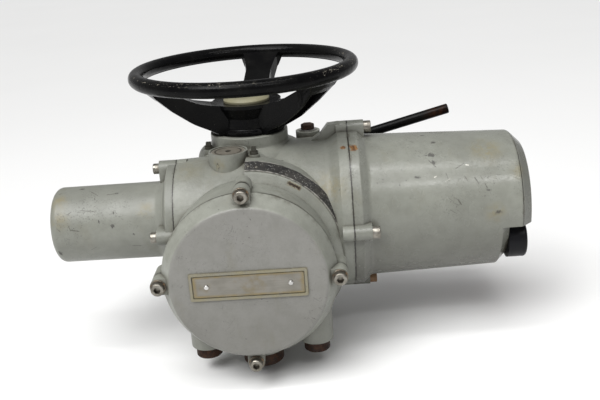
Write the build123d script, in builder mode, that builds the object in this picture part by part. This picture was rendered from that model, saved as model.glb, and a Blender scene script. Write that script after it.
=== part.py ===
from build123d import *
import math
import os

# Motorised valve actuator with a hollow output column, in millimetres, +Z up.
# The origin is on the output column's axis, at the mounting face of the base.
# +X points to the electrical cover, -Y to the terminal cover.

# ---- Axes of the casting ----
BODY_Y = -15.0
BODY_Z = 145.0
MOTOR_Y = -45.0
MOTOR_Z = 153.0
NECK_Z = 121.0

# ---- Joint planes and overall reach ----
CONTROL_JOINT = 108.0
CONTROL_END = 297.0
MOTOR_JOINT = 77.0
MOTOR_END = 214.0
NECK_JOINT = 141.0
TERMINAL_FACE = 163.0
BOSS_TOP = 237.2
BASE_JOINT = 40.0

# ---- ISO 5210 F10 base ----
FLANGE_R = 62.5
BASE_PITCH_R = 51.0
BASE_HOLE_R = 5.0
BASE_HOLE_DEPTH = 16.0
REGISTER_R = 35.0
BASE_SCREW_R = 55.0

# ---- Electrical cover ----
CONTROL_BORE_R = 72.0
CONTROL_SCREW_R = 90.0
CONTROL_LUG = 126.5
KNOB_STEP = 273.0
KNOB_STEP_Z = 135.0
KNOB_Z = 111.0
KNOB_OFFSET = 42.0
KNOB_R = 21.0
KNOB_DEPTH = 20.0

# ---- Motor cover ----
MOTOR_BORE_R = 48.0
MOTOR_SCREW_R = 57.5
MOTOR_COVER_R = 41.2
MOTOR_LUG = 96.0

# ---- Terminal compartment ----
NECK_R = 88.0
NECK_BORE_R = 78.0
TERMINAL_SCREW_R = 90.0
TERMINAL_LUG = 157.0
CONDUIT_Y = -110.0
CONDUIT_X = 4.0
CONDUIT_PITCH = 58.0
CONDUIT_LARGE_Z = 26.0
CONDUIT_SMALL_Z = 32.0

# ---- Bosses on top of the casting: place on plan, and height of the top face ----
INSPECTION = (-19.0, -60.0)
INSPECTION_TOP = 230.0
INSPECTION_R = 20.6
OIL_FILLER = (65.0, 18.0)
OIL_FILLER_TOP = 227.0
PIPE_PLUGS = ((-44.0, -24.0, 223.5), (8.5, -66.0, 226.0))

# ---- Output drive ----
COLUMN_R = 24.0
COLUMN_BORE_R = 17.0
CAVITY_R = 46.0
SLEEVE_R = 30.0
SLEEVE_BORE_R = 24.6
BUSH_R = 20.0
STEM_R = 10.0
RUN = 0.05

# ---- Worm gear: single start, right hand ----
TEETH = 20
WORM_PITCH_R = 12.5
WHEEL_PITCH_R = 32.5
WORM_LEAD = 2 * math.pi * WHEEL_PITCH_R / TEETH
ADDENDUM = 2.5
DEDENDUM = 3.2
SHAFT_R = 8.0

# ---- Hand/auto lever and clutch ----
LEVER_X = 46.0
LEVER_Y = 92.0
LEVER_Z = 177.0
LEVER_SLOPE = 14.0
LEVER_REACH = 196.0
LEVER_SHAFT_R = 6.0
FORK_REACH = 16.0
PAD_R = 4.0
FORK_CUT = 3.0
CLUTCH_R = 38.0
CLUTCH_TOP = 190.0
PRESS_ANGLE = 25.0
CLUTCH_LIFT = FORK_REACH * math.sin(math.radians(PRESS_ANGLE))
CONE_R = 35.0
CONE_HEIGHT = 8.0
CONE_TAPER = 0.5
CONE_GAP = 0.35

# ---- Handwheel ----
RIM_R = 117.0
TUBE_R = 8.0
RIM_Z = 305.0
HUB_BOTTOM = 238.0
HUB_BORE_R = 27.0
CAP_R = 25.5
CAP_BOTTOM = 262.0
SPOKE_WIDTH = 30.0
SPOKE_ANGLE = 83.0

# ---- Planes and axes that the pieces share ----
body_plane = Plane(origin=(0, BODY_Y, BODY_Z), x_dir=(1, 0, 0), z_dir=(0, -1, 0))
body_axis = Axis((0, BODY_Y, BODY_Z), (1, 0, 0))
motor_plane = Plane(origin=(0, MOTOR_Y, MOTOR_Z), x_dir=(-1, 0, 0), z_dir=(0, 1, 0))
motor_axis = Axis((0, MOTOR_Y, MOTOR_Z), (1, 0, 0))
neck_plane = Plane(origin=(0, 0, NECK_Z), x_dir=(0, -1, 0), z_dir=(-1, 0, 0))
neck_axis = Axis((0, 0, NECK_Z), (0, 1, 0))
lever_plane = Plane(origin=(LEVER_X, 0, LEVER_Z), x_dir=(0, 1, 0), z_dir=(1, 0, 0))
lever_axis = Axis((LEVER_X, 0, LEVER_Z), (0, 1, 0))


def across_body(x):
    """Plane across the electrical cover's axis at x, facing +X."""
    return Plane(origin=(x, BODY_Y, BODY_Z), x_dir=(0, 1, 0), z_dir=(1, 0, 0))


def across_motor(reach):
    """Plane across the motor axis at this reach from the column, facing -X."""
    return Plane(origin=(-reach, MOTOR_Y, MOTOR_Z), x_dir=(0, -1, 0), z_dir=(-1, 0, 0))


def across_neck(depth):
    """Plane across the terminal neck's axis at this depth, facing the terminal cover."""
    return Plane(origin=(0, -depth, NECK_Z), x_dir=(1, 0, 0), z_dir=(0, -1, 0))


def across_lever(y):
    """Plane across the lever shaft at y, facing the back."""
    return Plane(origin=(LEVER_X, y, LEVER_Z), x_dir=(-1, 0, 0), z_dir=(0, 1, 0))


def outline(plane, *points, rounds=()):
    """Closed profile with straight sides. Each of the rounds is (corner, radius)."""
    with BuildSketch(plane) as sketch:
        with BuildLine():
            Polyline(*points, close=True)
        make_face()
        for corner, radius in rounds:
            fillet(sketch.vertices().sort_by_distance((corner[0], corner[1], 0))[0], radius)
    return sketch.sketch


def ring(plane, start, end, inner, outer):
    """Rectangular section of a turned ring, between two places along its axis."""
    return outline(plane, (start, inner), (end, inner), (end, outer), (start, outer))


def tube(start, end, inner, outer):
    """The same section for a ring round the column."""
    return outline(Plane.XZ, (inner, start), (outer, start), (outer, end), (inner, end))


def ears(plane, inner, outer, width):
    """Four radial lugs, with their round ends centred on the outer radius."""
    with BuildSketch(plane) as sketch:
        with PolarLocations((inner + outer) / 2, 4):
            SlotCenterToCenter(outer - inner, width)
    return sketch.sketch


def spots(plane, pitch, radius, count=4, start=0):
    """Circles spaced on a pitch circle."""
    with BuildSketch(plane) as sketch:
        with PolarLocations(pitch, count, start_angle=start):
            Circle(radius)
    return sketch.sketch


def disc(plane, radius, centre=(0, 0)):
    """One circle on a plane."""
    with BuildSketch(plane) as sketch:
        with Locations(centre):
            Circle(radius)
    return sketch.sketch


def cap_screws(seat, pitch, size, length, start=0):
    """Four hex-socket cap screws. Heads stand on the seat plane, shanks go down from it."""
    with BuildPart() as screws:
        extrude(spots(seat, pitch, size * 0.81, start=start), amount=size)
        rims = screws.edges().filter_by(GeomType.CIRCLE).group_by(Axis(seat.origin, seat.z_dir))
        chamfer(rims[-1], size * 0.08)
        extrude(spots(seat, pitch, size / 2, start=start), amount=-length)
        with BuildSketch(seat.offset(size)):
            with PolarLocations(pitch, 4, start_angle=start):
                RegularPolygon(size * 0.46, 6)
        extrude(amount=-size * 0.55, mode=Mode.SUBTRACT)
    return screws


def rivets(plane, places, radius, height):
    """Domed rivets, one at each place."""
    with BuildPart() as heads:
        for place in places:
            extrude(disc(plane, radius, place), amount=height)
        tops = heads.edges().group_by(Axis(plane.origin, plane.z_dir))[-1]
        fillet(tops, height * 0.6)
    return heads


# ================= Gearcase =================
barrel_outline = outline(
    body_plane, (-44, 0), (-44, 58), (-4, 77), (50, 79), (86, 80), (97, 88), (108, 88), (108, 0),
    rounds=[((-4, 77), 60), ((86, 80), 12), ((97, 88), 3)],
)
motor_end_outline = outline(
    motor_plane, (MOTOR_JOINT, 0), (MOTOR_JOINT, 64), (44, 65.5), (-8, 72), (-30, 60), (-30, 0),
    rounds=[((-8, 72), 14)],
)
column_case_outline = outline(
    Plane.XZ, (0, 40), (62, 40), (62, 190), (58, 217), (43, 224), (43, BOSS_TOP), (0, BOSS_TOP),
    rounds=[((62, 190), 50), ((58, 217), 12), ((43, 224), 3), ((43, BOSS_TOP), 1.5)],
)
neck_outline = outline(
    neck_plane, (22, 0), (22, 66), (52, 85), (105, 86), (NECK_JOINT, NECK_R), (NECK_JOINT, 0),
    rounds=[((22, 66), 10), ((52, 85), 40)],
)
flare_outline = outline(
    neck_plane, (24, 40), (24, 74), (60, 103), (83, 102.5), (100, 95.5), (105, 85.5), (105, 40),
    rounds=[((60, 103), 30), ((100, 95.5), 3)],
)
column_bore_outline = outline(
    Plane.XZ, (0, 40), (CAVITY_R, 40), (CAVITY_R, 212), (34, 212), (34, 216), (38, 216),
    (38, BOSS_TOP), (0, BOSS_TOP),
)

with BuildPart() as gearcase:
    revolve(barrel_outline, axis=body_axis)
    revolve(motor_end_outline, axis=motor_axis)
    revolve(column_case_outline, axis=Axis.Z)
    revolve(neck_outline, axis=neck_axis)
    # The flare behind the neck runs from the top, round the electrical side only.
    revolve(flare_outline, axis=neck_axis, revolution_arc=152)
    # Lugs for the cover screws at the three joints.
    extrude(ears(across_body(CONTROL_JOINT), 78, CONTROL_SCREW_R, 16), amount=-12)
    extrude(ears(across_motor(MOTOR_JOINT), 48, MOTOR_SCREW_R, 17), amount=-11)
    extrude(ears(across_neck(NECK_JOINT), 78, TERMINAL_SCREW_R, 17), amount=-22)
    # Rib that carries the top lug of the electrical joint back on to the barrel.
    with BuildSketch(body_plane):
        with BuildLine():
            Polyline((60, 60), (100, 60), (100, 97), (87, 96), (79, 86), (66, 78), close=True)
        make_face()
    extrude(amount=6, both=True)
    # Vertical bosses: round inspection boss, oil filler and conduit entries.
    extrude(disc(Plane.XY.offset(150), INSPECTION_R, INSPECTION), amount=INSPECTION_TOP - 150)
    extrude(disc(Plane.XY.offset(195), 13.7, OIL_FILLER), amount=OIL_FILLER_TOP - 195)
    extrude(disc(Plane.XY.offset(CONDUIT_LARGE_Z), 25, (CONDUIT_X, CONDUIT_Y)), amount=34)
    for x in (CONDUIT_X - CONDUIT_PITCH, CONDUIT_X + CONDUIT_PITCH):
        extrude(disc(Plane.XY.offset(CONDUIT_SMALL_Z), 18, (x, CONDUIT_Y)), amount=44)
    # Small plug bosses beside the column.
    for x, y, top in PIPE_PLUGS:
        extrude(disc(Plane.XY.offset(top - 30), 6, (x, y)), amount=30)
    # Boss at the back for the lever shaft.
    extrude(disc(across_lever(20), 15), amount=62)
    # The motor joint face is flat, so the neck is cut back behind the motor cover's flange.
    with Locations((-MOTOR_JOINT - 20, -33, BODY_Z)):
        Box(40, 160, 300, mode=Mode.SUBTRACT)
    # The base joint is flat, so the neck is cut back below it.
    revolve(tube(20, BASE_JOINT, 0, 66), axis=Axis.Z, mode=Mode.SUBTRACT)
    # Column bore, with the sleeve bearing's seat at the top.
    revolve(column_bore_outline, axis=Axis.Z, mode=Mode.SUBTRACT)
    # Motor and worm bores.
    revolve(ring(motor_plane, 50, MOTOR_JOINT, 0, MOTOR_BORE_R), axis=motor_axis, mode=Mode.SUBTRACT)
    revolve(ring(motor_plane, -66, 50, 0, 20), axis=motor_axis, mode=Mode.SUBTRACT)
    # Electrical and terminal compartments.
    revolve(ring(body_plane, 82, CONTROL_JOINT, 0, CONTROL_BORE_R), axis=body_axis, mode=Mode.SUBTRACT)
    revolve(ring(neck_plane, 84, NECK_JOINT, 0, NECK_BORE_R), axis=neck_axis, mode=Mode.SUBTRACT)
    # Pocket for the clutch fork, and the lever shaft's bores.
    with Locations((41, 5, 180)):
        Box(42, 70, 34, mode=Mode.SUBTRACT)
    extrude(disc(across_lever(-33), LEVER_SHAFT_R + RUN), amount=116, mode=Mode.SUBTRACT)
    # Wiring passage between the two compartments.
    extrude(disc(across_neck(70), 9, (74, -10)), amount=50, mode=Mode.SUBTRACT)
    # Conduit entry holes, up into the terminal compartment. The large plug's head needs a spot face.
    extrude(disc(Plane.XY, 22, (CONDUIT_X, CONDUIT_Y)), amount=CONDUIT_LARGE_Z, mode=Mode.SUBTRACT)
    extrude(disc(Plane.XY, 20, (CONDUIT_X, CONDUIT_Y)), amount=60, mode=Mode.SUBTRACT)
    for x in (CONDUIT_X - CONDUIT_PITCH, CONDUIT_X + CONDUIT_PITCH):
        extrude(disc(Plane.XY, 12.5, (x, CONDUIT_Y)), amount=90, mode=Mode.SUBTRACT)
    # Recess of the inspection boss, and the threads of the plugs.
    recess = Plane.XY.offset(INSPECTION_TOP)
    extrude(disc(recess, INSPECTION_R - 2, INSPECTION), amount=-7, mode=Mode.SUBTRACT)
    extrude(disc(Plane.XY.offset(OIL_FILLER_TOP), 7, OIL_FILLER), amount=-20, mode=Mode.SUBTRACT)
    for x, y, top in PIPE_PLUGS:
        extrude(disc(Plane.XY.offset(top), 3, (x, y)), amount=-12, mode=Mode.SUBTRACT)
    # Threaded holes for the cover screws and the base screws.
    extrude(spots(across_body(CONTROL_JOINT), CONTROL_SCREW_R, 4), amount=-12, mode=Mode.SUBTRACT)
    extrude(spots(across_motor(MOTOR_JOINT), MOTOR_SCREW_R, 3.5), amount=-11, mode=Mode.SUBTRACT)
    extrude(spots(across_neck(NECK_JOINT), TERMINAL_SCREW_R, 4), amount=-9, mode=Mode.SUBTRACT)
    extrude(spots(Plane.XY.offset(BASE_JOINT), BASE_SCREW_R, 4), amount=18, mode=Mode.SUBTRACT)
gearcase.part.label = "gearcase"

# ================= Thrust base =================
base_outline = outline(
    Plane.XZ, (REGISTER_R, 0), (FLANGE_R, 0), (FLANGE_R, 18), (47.5, 18), (47.5, 28.5), (62, 28.5),
    (62, BASE_JOINT), (42, BASE_JOINT), (42, 20), (28, 20), (28, 16), (33, 16), (33, 4), (REGISTER_R, 4),
    rounds=[((FLANGE_R, 0), 1), ((FLANGE_R, 18), 1.5), ((47.5, 18), 3), ((62, 28.5), 1.5)],
)
with BuildPart() as thrust_base:
    revolve(base_outline, axis=Axis.Z)
    bolt_holes = spots(Plane.XY, BASE_PITCH_R, BASE_HOLE_R, start=45)
    extrude(bolt_holes, amount=BASE_HOLE_DEPTH, mode=Mode.SUBTRACT)
    extrude(spots(Plane.XY.offset(28.5), BASE_SCREW_R, 4.4), amount=11.5, mode=Mode.SUBTRACT)
    # Groove for the O-ring of the joint.
    revolve(tube(BASE_JOINT - 1.6, BASE_JOINT, 46.8, 49.4), axis=Axis.Z, mode=Mode.SUBTRACT)
thrust_base.part.label = "thrust_base"

base_screws = cap_screws(Plane(origin=(0, 0, 28.5), z_dir=(0, 0, -1)), BASE_SCREW_R, 8, 28)
base_screws.part.label = "base_screws"

with BuildPart() as base_oring:
    revolve(outline(
        Plane.XZ, (47, BASE_JOINT - 1.6), (49.2, BASE_JOINT - 1.6), (49.2, BASE_JOINT), (47, BASE_JOINT),
    ), axis=Axis.Z)
base_oring.part.label = "base_oring"

with BuildPart() as base_seal:
    revolve(tube(6, 16, 27 + RUN, 33), axis=Axis.Z)
base_seal.part.label = "base_seal"

# ================= Electrical cover =================
control_outline = outline(
    body_plane, (98, 64), (98, CONTROL_BORE_R - 0.1), (108, CONTROL_BORE_R - 0.1), (108, 88), (118, 88),
    (127, 79.2), (285, 74), (CONTROL_END, 62), (CONTROL_END, 0), (98, 0),
    rounds=[((118, 88), 2), ((127, 79.2), 6), ((285, 74), 5), ((CONTROL_END, 62), 3)],
)
control_hollow_outline = outline(
    body_plane, (98, 0), (98, 66), (108, 67), (124, 74), (281, 69), (291, 59), (291, 0),
    rounds=[((124, 74), 5)],
)

with BuildPart() as control_hollow:
    revolve(control_hollow_outline, axis=body_axis)
    with Locations((268 + 30, BODY_Y, KNOB_STEP_Z + 5 - 60)):
        Box(60, 200, 120, mode=Mode.SUBTRACT)

with BuildPart() as step_bevel:
    revolve(outline(
        body_plane, (264, 80), (264, 74.9), (KNOB_STEP, 66), (KNOB_STEP + 1, 66), (KNOB_STEP + 1, 80),
    ), axis=body_axis)
    with Locations((268, BODY_Y, KNOB_STEP_Z - 60)):
        Box(60, 200, 120, mode=Mode.INTERSECT)

with BuildPart() as control_cover:
    revolve(control_outline, axis=body_axis)
    extrude(ears(across_body(CONTROL_JOINT), 76, CONTROL_SCREW_R, 16), amount=CONTROL_LUG - CONTROL_JOINT)
    # The lower part of the end is stepped back for the selector knobs.
    with Locations((KNOB_STEP + 30, BODY_Y, KNOB_STEP_Z - 60)):
        Box(60, 200, 120, mode=Mode.SUBTRACT)
    add(step_bevel.part, mode=Mode.SUBTRACT)
    add(control_hollow.part, mode=Mode.SUBTRACT)
    extrude(spots(across_body(CONTROL_JOINT), CONTROL_SCREW_R, 4.4), amount=30, mode=Mode.SUBTRACT)
    # Window opening, with the seat of the glass.
    with BuildSketch(across_body(CONTROL_END)):
        with Locations((0, 26)):
            RectangleRounded(72, 38, 5)
    extrude(amount=-5, mode=Mode.SUBTRACT)
    with BuildSketch(across_body(CONTROL_END)):
        with Locations((0, 26)):
            RectangleRounded(64, 30, 4)
    extrude(amount=-12, mode=Mode.SUBTRACT)
    # Spindle holes of the knobs.
    with BuildSketch(across_body(KNOB_STEP)):
        with Locations((KNOB_OFFSET, KNOB_Z - BODY_Z), (-KNOB_OFFSET, KNOB_Z - BODY_Z)):
            Circle(4)
    extrude(amount=-10, mode=Mode.SUBTRACT)
    # O-ring groove in the spigot.
    groove = ring(body_plane, 101, 105, CONTROL_BORE_R - 3.2, CONTROL_BORE_R)
    revolve(groove, axis=body_axis, mode=Mode.SUBTRACT)
control_cover.part.label = "control_cover"

control_cover_screws = cap_screws(across_body(CONTROL_LUG), CONTROL_SCREW_R, 8, 29)
control_cover_screws.part.label = "control_cover_screws"

with BuildPart() as control_cover_oring:
    revolve(ring(body_plane, 101.4, 104.6, CONTROL_BORE_R - 3.1, CONTROL_BORE_R - 0.05), axis=body_axis)
    fillet(control_cover_oring.edges(), 1.2)
control_cover_oring.part.label = "control_cover_oring"

with BuildPart() as window_glass:
    with BuildSketch(across_body(CONTROL_END - 5)):
        with Locations((0, 26)):
            RectangleRounded(71.6, 37.6, 4.8)
    extrude(amount=4)
window_glass.part.label = "window_glass"

with BuildPart() as window_bezel:
    with BuildSketch(across_body(CONTROL_END - 1)):
        with Locations((0, 26)):
            RectangleRounded(71.6, 37.6, 4.8)
            RectangleRounded(62, 28, 3, mode=Mode.SUBTRACT)
    extrude(amount=2)
    chamfer(window_bezel.faces().sort_by(Axis.X)[-1].edges(), 0.6)
window_bezel.part.label = "window_bezel"

# ================= Selector knobs =================


def knob_face(offset, x):
    """Plane on a knob's axis, facing +X."""
    return Plane(origin=(x, BODY_Y + offset, KNOB_Z), x_dir=(0, 1, 0), z_dir=(1, 0, 0))


def selector_knob(offset):
    """Round knob on a spindle, hollowed either side of a finger grip across its face."""
    with BuildPart() as knob:
        extrude(disc(knob_face(offset, KNOB_STEP + 0.5), KNOB_R), amount=KNOB_DEPTH)
        fillet(knob.faces().sort_by(Axis.X)[-1].edges(), 3)
        with BuildSketch(knob_face(offset, KNOB_STEP + 0.5 + KNOB_DEPTH)):
            Circle(KNOB_R - 4.5)
            Rectangle(2 * KNOB_R, 12, mode=Mode.SUBTRACT)
        extrude(amount=-9, mode=Mode.SUBTRACT)
        extrude(disc(knob_face(offset, KNOB_STEP), 4 + RUN), amount=16, mode=Mode.SUBTRACT)
    return knob


open_close_knob = selector_knob(-KNOB_OFFSET)
open_close_knob.part.label = "open_close_knob"

local_remote_knob = selector_knob(KNOB_OFFSET)
local_remote_knob.part.label = "local_remote_knob"

with BuildPart() as knob_spindles:
    for side in (-KNOB_OFFSET, KNOB_OFFSET):
        extrude(disc(knob_face(side, KNOB_STEP - 8), 4), amount=23.5)
    for side in (-KNOB_OFFSET, KNOB_OFFSET):
        extrude(disc(knob_face(side, KNOB_STEP - 8), 7), amount=2.9)
knob_spindles.part.label = "knob_spindles"

# ================= Motor cover =================
motor_cover_outline = outline(
    motor_plane, (70, 40), (70, MOTOR_BORE_R - 0.1), (MOTOR_JOINT, MOTOR_BORE_R - 0.1), (MOTOR_JOINT, 63),
    (86, 63), (91, 47), (100, 41.6), (MOTOR_END, MOTOR_COVER_R), (MOTOR_END, 0), (207, 0), (207, 36.8),
    (84, 36.8), (84, 40),
    rounds=[((86, 63), 1.5), ((91, 47), 3), ((100, 41.6), 8), ((MOTOR_END, MOTOR_COVER_R), 8)],
)
with BuildPart() as motor_cover:
    revolve(motor_cover_outline, axis=motor_axis)
    extrude(ears(across_motor(MOTOR_JOINT), 46, MOTOR_SCREW_R, 17), amount=MOTOR_LUG - MOTOR_JOINT)
    revolve(ring(motor_plane, 70, 120, 0, 36.8), axis=motor_axis, mode=Mode.SUBTRACT)
    extrude(spots(across_motor(MOTOR_JOINT), MOTOR_SCREW_R, 3.9), amount=30, mode=Mode.SUBTRACT)
    groove = ring(motor_plane, 72, 75.6, MOTOR_BORE_R - 3, MOTOR_BORE_R)
    revolve(groove, axis=motor_axis, mode=Mode.SUBTRACT)
motor_cover.part.label = "motor_cover"

motor_cover_screws = cap_screws(across_motor(MOTOR_LUG), MOTOR_SCREW_R, 7, 29)
motor_cover_screws.part.label = "motor_cover_screws"

with BuildPart() as motor_cover_oring:
    revolve(ring(motor_plane, 72.3, 75.3, MOTOR_BORE_R - 2.9, MOTOR_BORE_R - 0.05), axis=motor_axis)
    fillet(motor_cover_oring.edges(), 1.1)
motor_cover_oring.part.label = "motor_cover_oring"

# ================= Terminal cover =================
terminal_outline = outline(
    neck_plane, (133, 70), (133, NECK_BORE_R - 0.1), (NECK_JOINT, NECK_BORE_R - 0.1), (NECK_JOINT, 88.5),
    (144, 88.5), (TERMINAL_FACE, 78.5), (TERMINAL_FACE, 0), (157, 0), (157, 70),
    rounds=[((144, 88.5), 1.5), ((TERMINAL_FACE, 78.5), 4)],
)
with BuildPart() as terminal_cover:
    revolve(terminal_outline, axis=neck_axis)
    extrude(ears(across_neck(NECK_JOINT), 79, TERMINAL_SCREW_R, 17), amount=TERMINAL_LUG - NECK_JOINT)
    extrude(spots(across_neck(NECK_JOINT), TERMINAL_SCREW_R, 4.4), amount=25, mode=Mode.SUBTRACT)
    groove = ring(neck_plane, 135, 139, NECK_BORE_R - 3.2, NECK_BORE_R)
    revolve(groove, axis=neck_axis, mode=Mode.SUBTRACT)
    # Raised frame round the data plate.
    with BuildSketch(across_neck(TERMINAL_FACE)):
        RectangleRounded(116, 29, 2)
        RectangleRounded(111, 24, 1, mode=Mode.SUBTRACT)
    extrude(amount=1.6)
terminal_cover.part.label = "terminal_cover"

terminal_cover_screws = cap_screws(across_neck(TERMINAL_LUG), TERMINAL_SCREW_R, 8, 24.5)
terminal_cover_screws.part.label = "terminal_cover_screws"

with BuildPart() as terminal_cover_oring:
    revolve(ring(neck_plane, 135.4, 138.6, NECK_BORE_R - 3.1, NECK_BORE_R - 0.05), axis=neck_axis)
    fillet(terminal_cover_oring.edges(), 1.2)
terminal_cover_oring.part.label = "terminal_cover_oring"

with BuildPart() as data_plate:
    with BuildSketch(across_neck(TERMINAL_FACE)):
        RectangleRounded(109, 22, 1.5)
    extrude(amount=0.8)
data_plate.part.label = "data_plate"

data_plate_rivets = rivets(across_neck(TERMINAL_FACE + 0.8), [(-41.5, 0), (41.5, 0)], 2.4, 1.4)
data_plate_rivets.part.label = "data_plate_rivets"

# ================= Label strip on the flare =================
with BuildPart() as label_strip:
    revolve(outline(
        neck_plane, (84, 102.2), (98.5, 96.2), (98.85, 97.0), (84.35, 103.0),
    ), axis=neck_axis, revolution_arc=74)
    revolve(barrel_outline, axis=body_axis, mode=Mode.SUBTRACT)
    revolve(flare_outline, axis=neck_axis, mode=Mode.SUBTRACT)
label_strip.part.label = "label_strip"

# ================= Plugs =================
with BuildPart() as boss_cap:
    extrude(disc(Plane.XY.offset(INSPECTION_TOP - 7), INSPECTION_R - 2.2, INSPECTION), amount=6.2)
    fillet(boss_cap.edges().group_by(Axis.Z)[-1], 1)
    extrude(disc(Plane.XY.offset(INSPECTION_TOP - 0.8), 3, INSPECTION), amount=-3, mode=Mode.SUBTRACT)
boss_cap.part.label = "boss_cap"

with BuildPart() as oil_filler_washer:
    extrude(disc(Plane.XY.offset(OIL_FILLER_TOP), 9.5, OIL_FILLER), amount=1.5)
    extrude(disc(Plane.XY.offset(OIL_FILLER_TOP), 7, OIL_FILLER), amount=1.5, mode=Mode.SUBTRACT)
oil_filler_washer.part.label = "oil_filler_washer"

with BuildPart() as oil_filler_plug:
    extrude(disc(Plane.XY.offset(OIL_FILLER_TOP - 17), 7, OIL_FILLER), amount=18.5)
    with BuildSketch(Plane.XY.offset(OIL_FILLER_TOP + 1.5)):
        with Locations(OIL_FILLER):
            RegularPolygon(7.6, 6)
    extrude(amount=6)
    chamfer(oil_filler_plug.faces().sort_by(Axis.Z)[-1].edges(), 0.8)
oil_filler_plug.part.label = "oil_filler_plug"

with BuildPart() as pipe_plugs:
    for x, y, top in PIPE_PLUGS:
        extrude(disc(Plane.XY.offset(top - 8), 3, (x, y)), amount=8)
        extrude(disc(Plane.XY.offset(top), 4.4, (x, y)), amount=3)
        with BuildSketch(Plane.XY.offset(top + 3)):
            with Locations((x, y)):
                Rectangle(5, 5)
        extrude(amount=4.5)
pipe_plugs.part.label = "pipe_plugs"

with BuildPart() as conduit_plug_large:
    extrude(disc(Plane.XY.offset(CONDUIT_LARGE_Z - 5), 20, (CONDUIT_X, CONDUIT_Y)), amount=21)
    extrude(disc(Plane.XY.offset(CONDUIT_LARGE_Z), 21.5, (CONDUIT_X, CONDUIT_Y)), amount=-15)
    chamfer(conduit_plug_large.faces().sort_by(Axis.Z)[0].edges(), 1)
    with BuildSketch(Plane.XY.offset(CONDUIT_LARGE_Z - 15)):
        with Locations((CONDUIT_X, CONDUIT_Y)):
            RegularPolygon(8, 6)
    extrude(amount=6, mode=Mode.SUBTRACT)
conduit_plug_large.part.label = "conduit_plug_large"

with BuildPart() as conduit_plugs_small:
    for x in (CONDUIT_X - CONDUIT_PITCH, CONDUIT_X + CONDUIT_PITCH):
        extrude(disc(Plane.XY.offset(CONDUIT_SMALL_Z - 5), 12.5, (x, CONDUIT_Y)), amount=21)
        extrude(disc(Plane.XY.offset(CONDUIT_SMALL_Z), 13.8, (x, CONDUIT_Y)), amount=-12.5)
        with BuildSketch(Plane.XY.offset(CONDUIT_SMALL_Z - 12.5)):
            with Locations((x, CONDUIT_Y)):
                RegularPolygon(6, 6)
        extrude(amount=5, mode=Mode.SUBTRACT)
    chamfer(conduit_plugs_small.faces().group_by(Axis.Z)[0].edges().filter_by(GeomType.CIRCLE), 1)
conduit_plugs_small.part.label = "conduit_plugs_small"

# ================= Output column and its bearings =================
column_outline = outline(
    Plane.XZ, (BUSH_R, 4.5), (27, 4.5), (27, 32.3), (36, 32.3), (36, 41.7), (27, 41.7), (27, 58),
    (COLUMN_R, 62), (COLUMN_R, 240), (COLUMN_BORE_R, 240), (COLUMN_BORE_R, 50), (BUSH_R, 50),
)
with BuildPart() as centre_column:
    revolve(column_outline, axis=Axis.Z)
    # Keyways of the drive bush.
    with Locations((BUSH_R, 0, 27.25), (-BUSH_R, 0, 27.25)):
        Box(6, 8, 45.5, mode=Mode.SUBTRACT)
centre_column.part.label = "centre_column"

with BuildPart() as drive_bush:
    extrude(disc(Plane.XY.offset(8), BUSH_R), amount=40)
    with Locations((BUSH_R, 0, 28), (-BUSH_R, 0, 28)):
        Box(5.6, 7.8, 40)
    extrude(disc(Plane.XY, STEM_R), amount=60, mode=Mode.SUBTRACT)
    # Keyway for the valve stem.
    with Locations((0, STEM_R, 28)):
        Box(6, 5.6, 44, mode=Mode.SUBTRACT)
drive_bush.part.label = "drive_bush"


def bearing(start, end, inner, outer):
    """Shielded bearing round the column: races with a sunk shield between them on both faces."""
    land = (outer - inner) * 0.22
    return outline(
        Plane.XZ, (inner, start), (inner + land, start), (inner + land + 0.4, start + 1),
        (outer - land - 0.4, start + 1), (outer - land, start), (outer, start), (outer, end),
        (outer - land, end), (outer - land - 0.4, end - 1), (inner + land + 0.4, end - 1),
        (inner + land, end), (inner, end),
    )


with BuildPart() as thrust_bearings:
    revolve(bearing(20, 32, 27 + RUN, 42), axis=Axis.Z)
    revolve(bearing(42, 54, 27 + RUN, CAVITY_R), axis=Axis.Z)
thrust_bearings.part.label = "thrust_bearings"

with BuildPart() as column_bearing:
    revolve(bearing(122, 136, COLUMN_R + RUN, CAVITY_R), axis=Axis.Z)
column_bearing.part.label = "column_bearing"

with BuildPart() as encoder_ring:
    revolve(tube(102, 110, COLUMN_R, 32), axis=Axis.Z)
    # Magnet pockets round the rim.
    with BuildSketch(Plane.XY.offset(110)):
        with PolarLocations(28, 12):
            Circle(2)
    extrude(amount=-2, mode=Mode.SUBTRACT)
encoder_ring.part.label = "encoder_ring"

with BuildPart() as encoder_board:
    with Locations((-41, 0, 106)):
        Box(1.6, 30, 22)
    with Locations((-38.2, 0, 106)):
        Box(4, 10, 8)
encoder_board.part.label = "encoder_board"

# ================= Worm gear =================
wheel_root_r = WHEEL_PITCH_R - DEDENDUM
wheel_tip_r = WHEEL_PITCH_R + ADDENDUM - 0.3
worm_root_r = WORM_PITCH_R - DEDENDUM
helix_angle = math.degrees(math.atan(WORM_LEAD / (2 * math.pi * WORM_PITCH_R)))
worm_half = 2 * WORM_LEAD


def dog_ring(plane, inner, outer, corners):
    """Four dogs of a dog clutch: on the diagonals, or in the cross between them."""
    with BuildSketch(plane) as dogs:
        if corners:
            Circle(outer)
            Rectangle(2 * outer, 22, mode=Mode.SUBTRACT)
            Rectangle(22, 2 * outer, mode=Mode.SUBTRACT)
        else:
            Rectangle(2 * outer, 20)
            Rectangle(20, 2 * outer)
            Circle(outer, mode=Mode.INTERSECT)
        Circle(inner, mode=Mode.SUBTRACT)
    return dogs.sketch


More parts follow.
